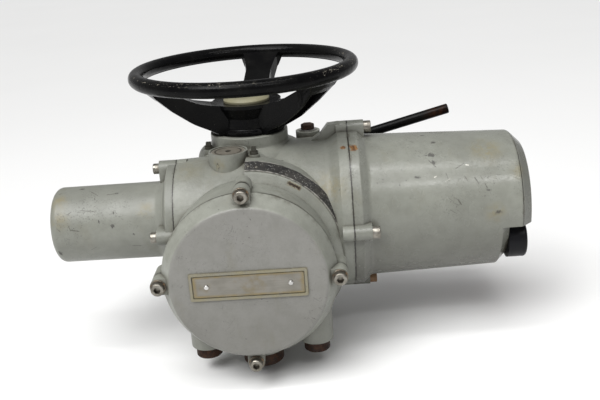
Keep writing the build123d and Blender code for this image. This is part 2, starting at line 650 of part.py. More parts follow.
def tooth_face(tooth):
    """Plane across one wheel tooth, tilted to the worm's lead. A gap faces the worm at rest."""
    turn = math.radians(-90 + (tooth + 0.5) * 360 / TEETH)
    outward = Vector(math.cos(turn), math.sin(turn), 0)
    foot = outward * (wheel_root_r - 1.5) + Vector(0, 0, MOTOR_Z)
    along = Vector(0, 0, 1).rotate(Axis((0, 0, 0), outward), -helix_angle)
    return Plane(origin=foot, x_dir=outward, z_dir=along)


with BuildPart() as worm_wheel:
    revolve(tube(144, 162, COLUMN_R, wheel_root_r), axis=Axis.Z)
    for tooth in range(TEETH):
        tip = wheel_tip_r - wheel_root_r + 1.5
        pitch = DEDENDUM + 1.5
        extrude(outline(
            tooth_face(tooth), (0, -2.8), (1.5, -2.7), (pitch, -1.9), (tip, -1.1),
            (tip, 1.1), (pitch, 1.9), (1.5, 2.7), (0, 2.8),
        ), amount=8.6, both=True)
    # Dogs that drive the clutch ring.
    extrude(dog_ring(Plane.XY.offset(162), COLUMN_R, 29, corners=True), amount=6)
worm_wheel.part.label = "worm_wheel"

worm_shaft_outline = outline(
    motor_plane, (-62, 0), (-62, SHAFT_R), (-28, SHAFT_R), (-28, worm_root_r), (28, worm_root_r),
    (28, SHAFT_R), (205, SHAFT_R), (205, 0),
)
with BuildPart() as worm_shaft:
    revolve(worm_shaft_outline, axis=motor_axis)
    # The helix starts above the axis, a quarter turn on, so that a crest faces the wheel at x = 0.
    with BuildLine() as helix:
        Helix(
            pitch=WORM_LEAD, height=2 * (worm_half - WORM_LEAD / 4), radius=WORM_PITCH_R,
            center=(WORM_LEAD / 4 - worm_half, MOTOR_Y, MOTOR_Z), direction=(1, 0, 0),
        )
    with BuildSketch(Plane(origin=helix.line @ 0, x_dir=(0, 0, 1), z_dir=helix.line % 0)):
        with BuildLine():
            Polyline(
                (-DEDENDUM - 0.4, -3.9), (ADDENDUM, -1.7), (ADDENDUM, 1.7), (-DEDENDUM - 0.4, 3.9),
                close=True,
            )
        make_face()
    sweep(path=helix.line, is_frenet=True)
worm_shaft.part.label = "worm_shaft"

with BuildPart() as shaft_bearings:
    for start, end in ((-54, -42), (38, 50)):
        revolve(ring(motor_plane, start, end, SHAFT_R + RUN, 20), axis=motor_axis)
        for face, inward in ((start, 1), (end, -1)):
            revolve(ring(motor_plane, face, face + inward, 11, 17), axis=motor_axis, mode=Mode.SUBTRACT)
    # Bearing at the motor's tail.
    revolve(ring(motor_plane, 197, 206, SHAFT_R + RUN, 16), axis=motor_axis)
    revolve(ring(motor_plane, 197, 198, 10, 14), axis=motor_axis, mode=Mode.SUBTRACT)
shaft_bearings.part.label = "shaft_bearings"

with BuildPart() as torque_springs:
    for k in range(4):
        place = -54 - 2.5 * k
        revolve(outline(
            motor_plane, (place, 9), (place - 1.1, 19), (place - 2.3, 19), (place - 1.2, 9),
        ), axis=motor_axis)
torque_springs.part.label = "torque_springs"

# ================= Motor =================
with BuildPart() as motor_stator:
    revolve(ring(motor_plane, 110, 184, 22.5, 36.7), axis=motor_axis)
    # Slots for the windings.
    with BuildSketch(across_motor(110)):
        with PolarLocations(26.5, 12):
            SlotCenterToCenter(5, 4)
    extrude(amount=74, mode=Mode.SUBTRACT)
motor_stator.part.label = "motor_stator"

with BuildPart() as motor_windings:
    revolve(ring(motor_plane, 102, 110, 23.5, 31), axis=motor_axis)
    revolve(ring(motor_plane, 184, 192, 23.5, 31), axis=motor_axis)
    fillet(motor_windings.edges(), 2)
    with BuildSketch(across_motor(109)):
        with PolarLocations(26.5, 12):
            SlotCenterToCenter(4.8, 3.8)
    extrude(amount=76)
motor_windings.part.label = "motor_windings"

with BuildPart() as motor_rotor:
    revolve(ring(motor_plane, 111, 183, SHAFT_R, 22), axis=motor_axis)
    extrude(spots(across_motor(111), 19, 1.6, count=16), amount=72, mode=Mode.SUBTRACT)
motor_rotor.part.label = "motor_rotor"

with BuildPart() as motor_end_shield:
    revolve(outline(
        motor_plane, (196, 16), (207, 16), (207, 19), (200, 19), (200, 36.7), (196, 36.7),
    ), axis=motor_axis)
motor_end_shield.part.label = "motor_end_shield"

# ================= Clutch and hand drive =================
clutch_outline = outline(
    Plane.XZ, (COLUMN_R + RUN, 170), (CLUTCH_R, 170), (CLUTCH_R, LEVER_Z - 4.4), (31, LEVER_Z - 4.4),
    (31, LEVER_Z + 4.4), (CLUTCH_R, LEVER_Z + 4.4), (CLUTCH_R, CLUTCH_TOP), (CONE_R, CLUTCH_TOP),
    (CONE_R - CONE_HEIGHT * CONE_TAPER, CLUTCH_TOP + CONE_HEIGHT), (COLUMN_R + RUN, CLUTCH_TOP + CONE_HEIGHT),
)
with BuildPart() as clutch_ring:
    revolve(clutch_outline, axis=Axis.Z)
    extrude(dog_ring(Plane.XY.offset(170), COLUMN_R + 0.4, 28.6, corners=False), amount=-6)
clutch_ring.part.label = "clutch_ring"

# The sleeve's cup takes the clutch ring's cone. At full lift the two are CONE_GAP apart.
cup_bottom = CLUTCH_TOP + CLUTCH_LIFT + 0.6
cup_roof = CLUTCH_TOP + CLUTCH_LIFT + CONE_HEIGHT + CONE_GAP
cup_r = CONE_R + CONE_GAP * math.sqrt(1 + CONE_TAPER ** 2)
with BuildPart() as hand_drive_sleeve:
    revolve(outline(
        Plane.XZ, (cup_r - 0.6 * CONE_TAPER, cup_bottom), (40, cup_bottom), (40, 210), (SLEEVE_R, 210),
        (SLEEVE_R, HUB_BOTTOM), (HUB_BORE_R, HUB_BOTTOM), (HUB_BORE_R, CAP_BOTTOM),
        (SLEEVE_BORE_R, CAP_BOTTOM), (SLEEVE_BORE_R, cup_roof),
        (cup_r - (CONE_HEIGHT + CONE_GAP) * CONE_TAPER, cup_roof),
    ), axis=Axis.Z)
hand_drive_sleeve.part.label = "hand_drive_sleeve"

with BuildPart() as sleeve_bearing:
    revolve(bearing(216, 230, SLEEVE_R + RUN, 38), axis=Axis.Z)
sleeve_bearing.part.label = "sleeve_bearing"

with BuildPart() as sleeve_seal:
    revolve(tube(230.5, 236.8, SLEEVE_R + RUN, 38), axis=Axis.Z)
    revolve(tube(235.6, 236.8, SLEEVE_R + 2, 36), axis=Axis.Z, mode=Mode.SUBTRACT)
sleeve_seal.part.label = "sleeve_seal"

# ================= Handwheel =================
spoke_turns = [SPOKE_ANGLE + 120 * k for k in range(3)]
wheel_outline = outline(
    Plane.XZ, (HUB_BORE_R, HUB_BOTTOM), (41, HUB_BOTTOM), (42.5, 241), (66, 254), (89, 272), (108, 290),
    (114, 299), (114, 309), (106, 303), (85, 289), (60, 276), (40, 271), (CAP_R + 0.3, 270),
    (CAP_R + 0.3, CAP_BOTTOM), (HUB_BORE_R, CAP_BOTTOM),
    rounds=[((66, 254), 60), ((89, 272), 60), ((85, 289), 40), ((60, 276), 30)],
)
# The hub between the spokes: a foot, a waist, and a shoulder that flares out below the cap.
hub_outline = outline(
    Plane.XZ, (0, 230), (35, 230), (35, 241), (32, 243.5), (31.5, 255), (38, 267), (38, 320), (0, 320),
    rounds=[((32, 243.5), 2), ((31.5, 255), 3)],
)
pocket_outline = outline(
    Plane.XZ, (48, 230), (48, 258), (60, 264), (85, 279), (103, 292), (103, 260),
)


def spokes(width):
    """Three bars out from the column that flare where they meet the rim, as one sketch."""
    half = width / 2
    with BuildSketch() as bars:
        for turn in spoke_turns:
            with Locations(Location((0, 0, 0), (0, 0, turn))):
                Polygon(
                    (0, -half), (84, -half), (104, -half - 5), (120, -half - 17),
                    (120, half + 17), (104, half + 5), (84, half), (0, half), align=None,
                )
    return bars.sketch


with BuildSketch(Plane.XY.offset(230)) as wheel_windows:
    Circle(113)
    add(spokes(SPOKE_WIDTH), mode=Mode.SUBTRACT)

with BuildPart() as wheel_gaps:
    extrude(wheel_windows.sketch, amount=90)
    revolve(hub_outline, axis=Axis.Z, mode=Mode.SUBTRACT)

with BuildPart() as spoke_pockets:
    revolve(pocket_outline, axis=Axis.Z)
    extrude(spokes(SPOKE_WIDTH - 11), amount=400, mode=Mode.INTERSECT)

with BuildPart() as handwheel:
    revolve(wheel_outline, axis=Axis.Z)
    add(wheel_gaps.part, mode=Mode.SUBTRACT)
    add(spoke_pockets.part, mode=Mode.SUBTRACT)
    with Locations((0, 0, RIM_Z)):
        Torus(RIM_R, TUBE_R)
handwheel.part.label = "handwheel"

with BuildPart() as hub_cap:
    revolve(outline(
        Plane.XZ, (0, CAP_BOTTOM), (CAP_R, CAP_BOTTOM), (CAP_R, 272.5), (22, 275.5), (0, 276.5),
        rounds=[((CAP_R, 272.5), 1.5), ((22, 275.5), 4)],
    ), axis=Axis.Z)
hub_cap.part.label = "hub_cap"

# ================= Hand/auto lever =================
slope = math.radians(LEVER_SLOPE)
lever_along = Vector(math.cos(slope), 0, math.sin(slope))
lever_start = Vector(LEVER_X, LEVER_Y, LEVER_Z)
with BuildPart() as hand_auto_lever:
    extrude(disc(across_lever(LEVER_Y - 7), 14), amount=14)
    lever_root = Plane(origin=lever_start + lever_along * 8, z_dir=lever_along)
    extrude(disc(lever_root, 6), amount=LEVER_REACH - 8)
    fillet(hand_auto_lever.edges().sort_by(Axis.X)[-1], 1.5)
    extrude(disc(across_lever(LEVER_Y - 8), LEVER_SHAFT_R), amount=16, mode=Mode.SUBTRACT)
    # Hole for a padlock.
    extrude(disc(Plane(
        origin=lever_start + lever_along * 24 - Vector(0, 10, 0), z_dir=(0, 1, 0)
    ), 3.2), amount=20, mode=Mode.SUBTRACT)
hand_auto_lever.part.label = "hand_auto_lever"

with BuildPart() as lever_shaft:
    extrude(disc(across_lever(-32.5), LEVER_SHAFT_R), amount=LEVER_Y + 7 + 32.5)
lever_shaft.part.label = "lever_shaft"

with BuildPart() as clutch_fork:
    extrude(disc(across_lever(-27), 10), amount=54)
    for side in (-24, 18):
        with BuildSketch(across_lever(side)):
            with Locations((FORK_REACH / 2, 0)):
                Rectangle(FORK_REACH, 4)
            with Locations((FORK_REACH, 0)):
                Circle(PAD_R)
        extrude(amount=6)
    # The hub between the arms is cut back to clear the clutch ring.
    with BuildSketch(across_lever(-17)):
        with Locations((FORK_CUT + 10, 0)):
            Rectangle(20, 40)
    extrude(amount=34, mode=Mode.SUBTRACT)
    extrude(disc(across_lever(-28), LEVER_SHAFT_R), amount=56, mode=Mode.SUBTRACT)
clutch_fork.part.label = "clutch_fork"

with BuildPart() as lever_seal:
    revolve(outline(
        lever_plane, (82, LEVER_SHAFT_R + RUN), (84.2, LEVER_SHAFT_R + RUN), (84.2, 12), (82, 13),
    ), axis=lever_axis)
lever_seal.part.label = "lever_seal"

with BuildPart() as lever_spring:
    for k in range(4):
        with Locations(Location((LEVER_X, 29.6 + 2.3 * k, LEVER_Z), (90, 0, 0))):
            Torus(8.4, 1)
    with Locations((LEVER_X + 8.4, 32.5, LEVER_Z + 7)):
        Box(2, 1.6, 12)
    with Locations((LEVER_X, 33, LEVER_Z + 8.4)):
        Box(1.4, 8.6, 1.4)
lever_spring.part.label = "lever_spring"

# ================= Terminal compartment =================
with BuildPart() as terminal_block:
    extrude(disc(across_neck(84), 66), amount=12)
    extrude(disc(across_neck(96), 58), amount=10)
    # Barriers between the terminals.
    with BuildSketch(across_neck(106)):
        with PolarLocations(48, 24):
            Rectangle(14, 1.6)
        with PolarLocations(26, 12):
            Rectangle(14, 1.6)
    extrude(amount=7)
terminal_block.part.label = "terminal_block"

with BuildPart() as terminal_studs:
    for pitch, count in ((48, 24), (26, 12)):
        extrude(spots(across_neck(106), pitch, 1.9, count=count, start=180 / count), amount=12)
        with BuildSketch(across_neck(106)):
            with PolarLocations(pitch, count, start_angle=180 / count):
                RegularPolygon(3.4, 6)
        extrude(amount=3)
terminal_studs.part.label = "terminal_studs"

# ================= Electronics =================
with BuildPart() as electronics_chassis:
    extrude(disc(across_body(112), 62), amount=2.5)
    with Locations((188, BODY_Y, BODY_Z - 34), (188, BODY_Y, BODY_Z + 46)):
        Box(147.5, 60, 2.5)
    with Locations((262, BODY_Y, BODY_Z + 6)):
        Box(2.5, 70, 82.5)
electronics_chassis.part.label = "electronics_chassis"

with BuildPart() as power_transformer:
    with Locations((145, BODY_Y, BODY_Z - 12)):
        Box(40, 48, 30)
    with Locations((145, BODY_Y, BODY_Z - 12)):
        Box(24, 56, 40)
    fillet(power_transformer.edges().filter_by(Axis.Y), 2)
power_transformer.part.label = "power_transformer"

with BuildPart() as contactors:
    for y in (BODY_Y - 24, BODY_Y + 2):
        with Locations((205, y + 11, BODY_Z - 14)):
            Box(50, 22, 36)
        with Locations((205, y + 11, BODY_Z + 6)):
            Box(34, 16, 4)
contactors.part.label = "contactors"

with BuildPart() as main_board:
    with Locations((190, BODY_Y, BODY_Z + 32)):
        Box(136, 76, 1.6)
    for x in (140, 165, 190, 215, 240):
        with Locations((x, BODY_Y - 18, BODY_Z + 34.8), (x, BODY_Y + 18, BODY_Z + 34.8)):
            Box(14, 14, 4)
main_board.part.label = "main_board"

with BuildPart() as display_module:
    with Locations((282.5, BODY_Y, BODY_Z + 26)):
        Box(5, 60, 30)
    with Locations((277, BODY_Y, BODY_Z + 26)):
        Box(6, 50, 24)
    with Locations((269, BODY_Y, BODY_Z + 26)):
        Box(11, 20, 14)
display_module.part.label = "display_module"

# ================= Output =================
pieces = [
    gearcase, thrust_base, base_screws, base_oring, base_seal,
    control_cover, control_cover_screws, control_cover_oring, window_glass, window_bezel,
    open_close_knob, local_remote_knob, knob_spindles,
    motor_cover, motor_cover_screws, motor_cover_oring,
    terminal_cover, terminal_cover_screws, terminal_cover_oring, data_plate, data_plate_rivets,
    label_strip, boss_cap, oil_filler_washer, oil_filler_plug, pipe_plugs,
    conduit_plug_large, conduit_plugs_small,
    centre_column, drive_bush, thrust_bearings, column_bearing,
    encoder_ring, encoder_board, worm_wheel, worm_shaft, shaft_bearings, torque_springs,
    motor_stator, motor_windings, motor_rotor, motor_end_shield,
    clutch_ring, hand_drive_sleeve, sleeve_bearing, sleeve_seal,
    handwheel, hub_cap,
    hand_auto_lever, lever_shaft, clutch_fork, lever_seal, lever_spring,
    terminal_block, terminal_studs,
    electronics_chassis, power_transformer, contactors, main_board, display_module,
]
os.makedirs("parts", exist_ok=True)
for piece in pieces:
    export_step(piece.part, f"parts/{piece.part.label}.step")
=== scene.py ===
import math
import random

import bmesh
import bpy
from mathutils import Matrix, Vector


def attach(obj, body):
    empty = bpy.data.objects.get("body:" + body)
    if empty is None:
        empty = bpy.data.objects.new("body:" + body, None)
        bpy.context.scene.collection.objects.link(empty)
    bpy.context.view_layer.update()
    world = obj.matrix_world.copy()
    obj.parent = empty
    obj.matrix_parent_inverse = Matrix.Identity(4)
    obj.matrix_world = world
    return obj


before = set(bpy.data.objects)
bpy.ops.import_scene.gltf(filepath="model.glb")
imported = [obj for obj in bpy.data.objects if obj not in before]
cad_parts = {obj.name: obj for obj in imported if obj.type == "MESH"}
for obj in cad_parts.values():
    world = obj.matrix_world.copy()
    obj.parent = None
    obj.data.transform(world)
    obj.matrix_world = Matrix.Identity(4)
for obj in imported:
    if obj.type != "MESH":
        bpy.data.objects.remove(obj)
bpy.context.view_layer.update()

# ================= Places, in metres, in the shared frame =================
BODY = (0.0, -0.015, 0.145)       # axis of the electrical cover, along X
MOTOR = (0.0, -0.045, 0.153)      # axis of the motor cover, along X
NECK = (0.0, 0.0, 0.121)          # axis of the terminal cover, along Y
CONTROL_JOINT = 0.108             # where the electrical cover meets the gearcase, along X
CONTROL_END_RING = 0.2858         # the electrical cover's end ring, along X
MOTOR_JOINT = -0.077              # where the motor cover meets the gearcase, along X
NECK_JOINT = -0.141               # where the terminal cover meets the gearcase, along Y
BASE_JOINT = 0.040                # where the base meets the gearcase, along Z
TERMINAL_FACE = -0.163            # outside of the terminal cover, along Y
BOSS_CAP = (-0.019, -0.060, 0.227)
RIM_Z = 0.305                     # centre of the handwheel's rim, along Z


# ================= Material kit =================
class Finish:
    """One procedural material. Its coordinates are the object's own, in metres."""

    def __init__(self, name):
        self.material = bpy.data.materials.new(name)
        self.material.use_nodes = True
        self.tree = self.material.node_tree
        self.tree.nodes.clear()
        self.shader = self.add("ShaderNodeBsdfPrincipled")
        end = self.add("ShaderNodeOutputMaterial")
        self.join(self.shader.outputs["BSDF"], end.inputs["Surface"])
        self.place = self.add("ShaderNodeTexCoord").outputs["Object"]
        self.heights = []

    def add(self, kind):
        return self.tree.nodes.new(kind)

    def join(self, start, end):
        self.tree.links.new(start, end)

    def feed(self, socket, value):
        """Links a socket, or sets it to a constant."""
        if isinstance(value, bpy.types.NodeSocket):
            self.join(value, socket)
        elif isinstance(value, tuple) and len(socket.default_value) == 4:
            socket.default_value = (*value, 1.0)
        else:
            socket.default_value = value

    def math(self, operation, a, b=0.0, clamp=False):
        node = self.add("ShaderNodeMath")
        node.operation = operation
        node.use_clamp = clamp
        self.feed(node.inputs[0], a)
        self.feed(node.inputs[1], b)
        return node.outputs[0]

    def vector(self, operation, a, b=(0, 0, 0)):
        node = self.add("ShaderNodeVectorMath")
        node.operation = operation
        self.feed(node.inputs[0], a)
        self.feed(node.inputs[1], b)
        return node

    def both(self, a, b):
        return self.math("MULTIPLY", a, b)

    def either(self, *masks):
        top = masks[0]
        for mask in masks[1:]:
            top = self.math("MAXIMUM", top, mask)
        return top

    def ramp(self, value, low, high, start=0.0, end=1.0):
        """Smooth step from start at low to end at high."""
        node = self.add("ShaderNodeMapRange")
        node.interpolation_type = "SMOOTHSTEP"
        self.feed(node.inputs["Value"], value)
        node.inputs["From Min"].default_value = low
        node.inputs["From Max"].default_value = high
        node.inputs["To Min"].default_value = start
        node.inputs["To Max"].default_value = end
        return node.outputs["Result"]

    def stretched(self, scale=(1, 1, 1), turn=(0, 0, 0)):
        """Coordinates turned first, then scaled along the turned axes."""
        turned = self.add("ShaderNodeMapping")
        self.join(self.place, turned.inputs["Vector"])
        turned.inputs["Rotation"].default_value = turn
        scaled = self.add("ShaderNodeMapping")
        self.join(turned.outputs["Vector"], scaled.inputs["Vector"])
        scaled.inputs["Scale"].default_value = scale
        return scaled.outputs["Vector"]

    def noise(self, scale, detail=3.0, roughness=0.5, place=None, shift=0.0):
        node = self.add("ShaderNodeTexNoise")
        self.join(place or self.place, node.inputs["Vector"])
        node.noise_dimensions = "4D"
        node.inputs["W"].default_value = shift
        node.inputs["Scale"].default_value = scale
        node.inputs["Detail"].default_value = detail
        node.inputs["Roughness"].default_value = roughness
        return node.outputs["Fac"]

    def cells(self, scale, feature="F1"):
        node = self.add("ShaderNodeTexVoronoi")
        node.feature = feature
        self.join(self.place, node.inputs["Vector"])
        node.inputs["Scale"].default_value = scale
        return node.outputs["Distance"]

    def axes(self):
        node = self.add("ShaderNodeSeparateXYZ")
        self.join(self.place, node.inputs[0])
        return node.outputs

    def away(self, centre, flat=(1, 1, 1)):
        """Distance from a point, or from a line where flat is 0 along it."""
        offset = self.vector("SUBTRACT", self.place, centre).outputs[0]
        weighed = self.vector("MULTIPLY", offset, flat).outputs[0]
        return self.vector("LENGTH", weighed).outputs["Value"]

    def wobble(self, grain, depth):
        """A noise from 0 to 1, moved to lie round 0 and scaled by depth."""
        return self.both(self.math("SUBTRACT", grain, 0.5), depth)

    def seam(self, axis, where, width):
        """1 on the plane axis = where, falling to 0 at width either side."""
        offset = self.math("SUBTRACT", self.axes()[axis], where)
        jagged = self.math("ADD", offset, self.wobble(self.noise(380, 3, 0.7), 0.0012))
        return self.ramp(self.math("ABSOLUTE", jagged), width * 0.3, width, 1.0, 0.0)

    def spot(self, centre, radius, ragged=0.5, flat=(1, 1, 1)):
        """1 inside a ragged patch round centre."""
        grain = self.noise(1.1 / radius, 5, 0.7, shift=centre[0] * 90)
        reach = self.math("ADD", self.away(centre, flat), self.wobble(grain, radius * ragged * 5))
        return self.ramp(reach, radius * 0.55, radius, 1.0, 0.0)

    def haze(self, centre, radius, strength):
        """A soft uneven patch round centre, up to strength."""
        near = self.ramp(self.away(centre), 0.0, radius, 1.0, 0.0)
        uneven = self.ramp(self.noise(120, 6, 0.72, shift=centre[0] * 70), 0.38, 0.62, 0.1, 1.0)
        return self.both(self.both(near, uneven), strength)

    def scratch(self, start, end, width):
        """1 along a thin broken line from start to end."""
        start = Vector(start)
        end = Vector(end)
        along = (end - start).normalized()
        half = (end - start).length / 2
        offset = self.vector("SUBTRACT", self.place, (start + end) / 2).outputs[0]
        reach = self.math("ABSOLUTE", self.vector("DOT_PRODUCT", offset, along).outputs["Value"])
        across = self.vector("CROSS_PRODUCT", offset, along).outputs[0]
        aside = self.vector("LENGTH", across).outputs["Value"]
        broken = self.math("ADD", aside, self.wobble(self.noise(420, 3, 0.7), width * 2.5))
        length = self.ramp(reach, half * 0.6, half, 1.0, 0.0)
        return self.both(length, self.ramp(broken, width * 0.3, width, 1.0, 0.0))

    def tint(self, mask, under, over):
        node = self.add("ShaderNodeMix")
        node.data_type = "RGBA"
        self.feed(node.inputs["Factor"], mask)
        self.feed(node.inputs[6], under)
        self.feed(node.inputs[7], over)
        return node.outputs[2]

    def hollows(self, distance):
        """1 in inside corners, 0 on open faces."""
        node = self.add("ShaderNodeAmbientOcclusion")
        node.samples = 8
        node.inputs["Distance"].default_value = distance
        return self.ramp(node.outputs["AO"], 0.35, 0.95, 1.0, 0.0)

    def bump(self, height, depth):
        """Adds relief of this depth in metres."""
        node = self.add("ShaderNodeBump")
        node.inputs["Distance"].default_value = depth
        self.join(height, node.inputs["Height"])
        if self.heights:
            self.join(self.heights[-1], node.inputs["Normal"])
        self.heights.append(node.outputs["Normal"])

    def end(self, colour, roughness, **constants):
        self.feed(self.shader.inputs["Base Color"], colour)
        self.feed(self.shader.inputs["Roughness"], roughness)
        for socket, value in constants.items():
            self.feed(self.shader.inputs[socket.replace("_", " ")], value)
        if self.heights:
            self.join(self.heights[-1], self.shader.inputs["Normal"])
        return self.material


# ================= Painted castings =================
PAINT = (0.232, 0.238, 0.207)
COVER_FACE_TONE_AND_SHADE = (0.197, 0.192, 0.180)
MOTTLE = (0.12, 0.12, 0.10)
HAND_DIRT = (0.15, 0.142, 0.10)
STAIN = (0.20, 0.165, 0.075)
UNDERSIDE_SHADE = (0.075, 0.073, 0.062)
GRIME_AND_SHADE = (0.055, 0.048, 0.033)
SCUFF = (0.060, 0.058, 0.050)
SCRATCH = (0.062, 0.058, 0.048)
END_SHADE = (0.055, 0.055, 0.048)
CHIP = (0.045, 0.042, 0.038)
BARE_METAL_AND_GLINT = (0.58, 0.56, 0.50)
GOUGE_HALO = (0.17, 0.125, 0.05)
GOUGE = (0.020, 0.011, 0.006)
JOINT_DIRT = (0.012, 0.010, 0.008)
YELLOWED = (0.205, 0.182, 0.105)
RUST = (0.27, 0.140, 0.048)
DARK_RUST = (0.075, 0.030, 0.013)

# The terminal cover's face: its flat disc, and the raised frame round the data plate.
FACE_R = 0.0780
FRAME_HALF_WIDE = 0.0578
FRAME_HALF_TALL = 0.0143


def shade(colour, factor):
    """The colour made darker or lighter, with no channel over 1."""
    return tuple(min(1.0, c * factor) for c in colour)


def scattered(seed, count, axis, radius, span, length):
    """Random short scratches on a cylinder along X, all the way round."""
    pick = random.Random(seed)
    lines = []
    for _ in range(count):
        x = pick.uniform(*span)
        turn = pick.uniform(0, 2 * math.pi)
        run = pick.uniform(*length)
        slant = pick.gauss(0, 0.6)
        dx = run * math.cos(slant) / 2
        dt = run * math.sin(slant) / 2 / radius
        ends = []
        for k in (-1, 1):
            angle = turn + k * dt
            ends.append((x + k * dx, axis[1] - radius * math.sin(angle), axis[2] + radius * math.cos(angle)))
        lines.append((*ends, pick.uniform(0.0003, 0.0006)))
    return lines


# Directions, noise shifts and scales of the four families of fine scuffs.
SCUFFS = (
    ((0.2, 0.7, 0.3), 1.7, (70, 900, 900)),
    ((0.4, -0.6, -0.2), 5.3, (95, 800, 800)),
    ((0.3, 1.3, 0.5), 8.8, (120, 700, 700)),
    ((-0.5, 0.1, 0.9), 3.6, (60, 1100, 1100)),
)


def grey_paint(
    name, base=PAINT, seams=(), rust=(), stains=(), chips=(), marked=(), scratches=(), bare_and_glints=(), gouges=(),
    wear=0.5, cast=1.0, face=False, dark_end=None, rough=(0.34, 0.46), low=(0.060, 0.135, 0.3),
):
    """Aged grey paint on a casting: clouded, chipped and scratched, with dirt in the joints.

    seams are (axis, place, width); rust, stains and marked are (centre, radius); chips are
    (centre, radius, weight per axis); scratches, bare and gouges are (start, end, width). The
    first pale mark in bare for the electrical cover is a painted glint.
    low paints shade on the underside, darker towards the bottom: (height, shade-free height,
    strength). dark_end is where a band of painted shade begins along X, on the end that faces
    away from the light.
    """
    f = Finish(name)
    x, y, z = f.axes()
    cloud = f.noise(14, 5, 0.6)
    colour = f.tint(f.ramp(cloud, 0.3, 0.72), shade(base, 0.88), shade(base, 1.1))
    # The face's flat disc in a cooler, darker grey: partly its own tone, partly painted shade.
    if face:
        disc = f.ramp(f.away(NECK, (1, 0, 1)), FACE_R, FACE_R + 0.0015, 1, 0)
        face_tone_and_shade = f.tint(cloud, shade(COVER_FACE_TONE_AND_SHADE, 0.92), shade(COVER_FACE_TONE_AND_SHADE, 1.06))
        colour = f.tint(f.both(disc, 0.85), colour, face_tone_and_shade)
    mottle = f.noise(75, 6, 0.7, shift=1.4)
    colour = f.tint(f.ramp(mottle, 0.35, 0.7, 0.0, 0.3), colour, MOTTLE)
    # Handling dirt in soft patches.
    smear = f.noise(30, 6, 0.68, f.stretched((1, 1, 0.45)), 3.1)
    dirt = f.ramp(smear, 0.53, 0.76, 0.0, 0.5)
    colour = f.tint(dirt, colour, HAND_DIRT)
    for patch, radius in stains:
        colour = f.tint(f.haze(patch, radius, 0.55), colour, STAIN)
    # Painted shade: the paint darkens towards the bottom, in uneven patches.
    low_z, shade_free_z, strength = low
    uneven = f.ramp(f.noise(18, 5, 0.6, shift=6.2), 0.3, 0.7, 0.75, 1.0)
    colour = f.tint(f.both(f.ramp(z, low_z, shade_free_z, strength, 0.0), uneven), colour, UNDERSIDE_SHADE)
    # Inside corners darkened from the occlusion: painted shade, with some grime.
    corner = f.both(f.hollows(0.010), f.ramp(f.noise(70, 4, 0.6), 0.28, 0.6, 0.4, 1.0))
    colour = f.tint(f.both(corner, 0.8), colour, GRIME_AND_SHADE)
    # Scuffs: short thin marks, thicker on the places that are often knocked.
    worn = f.ramp(f.noise(26, 3, 0.6, shift=5.1), 0.50, 0.64)
    for patch, radius in marked:
        worn = f.either(worn, f.haze(patch, radius, 1.0))
    marks = []
    for turn, shift, size in SCUFFS:
        thin = f.noise(1, 2, 0.45, f.stretched(size, turn), shift)
        marks.append(f.both(f.ramp(thin, 0.64, 0.70), worn))
    scuff = f.either(*marks)
    colour = f.tint(f.both(scuff, wear * 0.7), colour, SCUFF)
    # Painted shade on the electrical cover's end past its end ring, which faces away from the light.
    if dark_end:
        colour = f.tint(f.ramp(x, dark_end, dark_end + 0.002, 0.0, 0.42), colour, END_SHADE)
    lines = [f.scratch(*line) for line in scratches]
    if lines:
        scuff = f.either(scuff, *lines)
        colour = f.tint(f.both(f.either(*lines), 0.75), colour, SCRATCH)
    # Chips down to primer and dark metal.
    speck = f.noise(330, 5, 0.7, shift=2.2)
    flaking = f.ramp(f.noise(22, 4, 0.6, shift=7.7), 0.48, 0.66)
    chip = f.both(f.ramp(speck, 0.63, 0.665), f.either(flaking, worn))
    for patch, radius, flat in chips:
        chip = f.either(chip, f.both(f.spot(patch, radius, 0.9, flat), 0.8))
    colour = f.tint(f.both(chip, min(1.0, wear + 0.4)), colour, CHIP)
    # Pale metal showing through the paint, and one painted glint on the electrical cover.
    for line in bare_and_glints:
        colour = f.tint(f.scratch(*line), colour, BARE_METAL_AND_GLINT)
    for start, end, width in gouges:
        colour = f.tint(f.both(f.scratch(start, end, width * 1.5), 0.75), colour, GOUGE_HALO)
        colour = f.tint(f.scratch(start, end, width), colour, GOUGE)
    for patch, radius in rust:
        brown = f.tint(f.ramp(f.noise(420, 4, 0.6), 0.35, 0.62), DARK_RUST, RUST)
        colour = f.tint(f.both(f.spot(patch, radius), 0.95), colour, brown)
    # Dirt in the joints: a broken dark line with a softer halo.
    for axis, where, width in seams:
        broken = f.ramp(f.noise(60, 5, 0.7, shift=where * 50), 0.34, 0.52, 0.35, 1.0)
        colour = f.tint(f.both(f.seam(axis, where, width), broken), colour, JOINT_DIRT)
        patchy = f.ramp(f.noise(90, 5, 0.7, shift=where * 30), 0.46, 0.66, 0.05, 0.6)
        colour = f.tint(f.both(f.seam(axis, where, width * 3.2), patchy), colour, GRIME_AND_SHADE)
    if face:
        wide = f.math("ABSOLUTE", x)
        tall = f.math("ABSOLUTE", f.math("SUBTRACT", z, NECK[2]))
        plate = f.ramp(wide, FRAME_HALF_WIDE, FRAME_HALF_WIDE + 0.0014, 1, 0)
        plate = f.both(plate, f.ramp(tall, FRAME_HALF_TALL, FRAME_HALF_TALL + 0.0012, 1, 0))
        plate = f.both(plate, f.ramp(y, TERMINAL_FACE - 0.0002, TERMINAL_FACE + 0.0004, 1, 0))
        colour = f.tint(f.both(plate, f.ramp(f.noise(85, 5, 0.7), 0.3, 0.68, 0.25, 0.9)), colour, YELLOWED)
    sheen = f.ramp(f.noise(45, 3, 0.6, shift=9.0), 0.3, 0.7, *rough)
    dull = f.math("ADD", sheen, f.both(f.either(dirt, chip, corner), 0.3), clamp=True)
    f.bump(f.noise(240, 3, 0.55, shift=4.4), 0.00035 * cast)
    f.bump(f.noise(1300, 2, 0.5), 0.00006 * cast)
    f.bump(f.math("SUBTRACT", 1.0, f.either(chip, f.both(scuff, 0.6))), 0.00014)
    return f.end(colour, dull, Specular_IOR_Level=0.42)


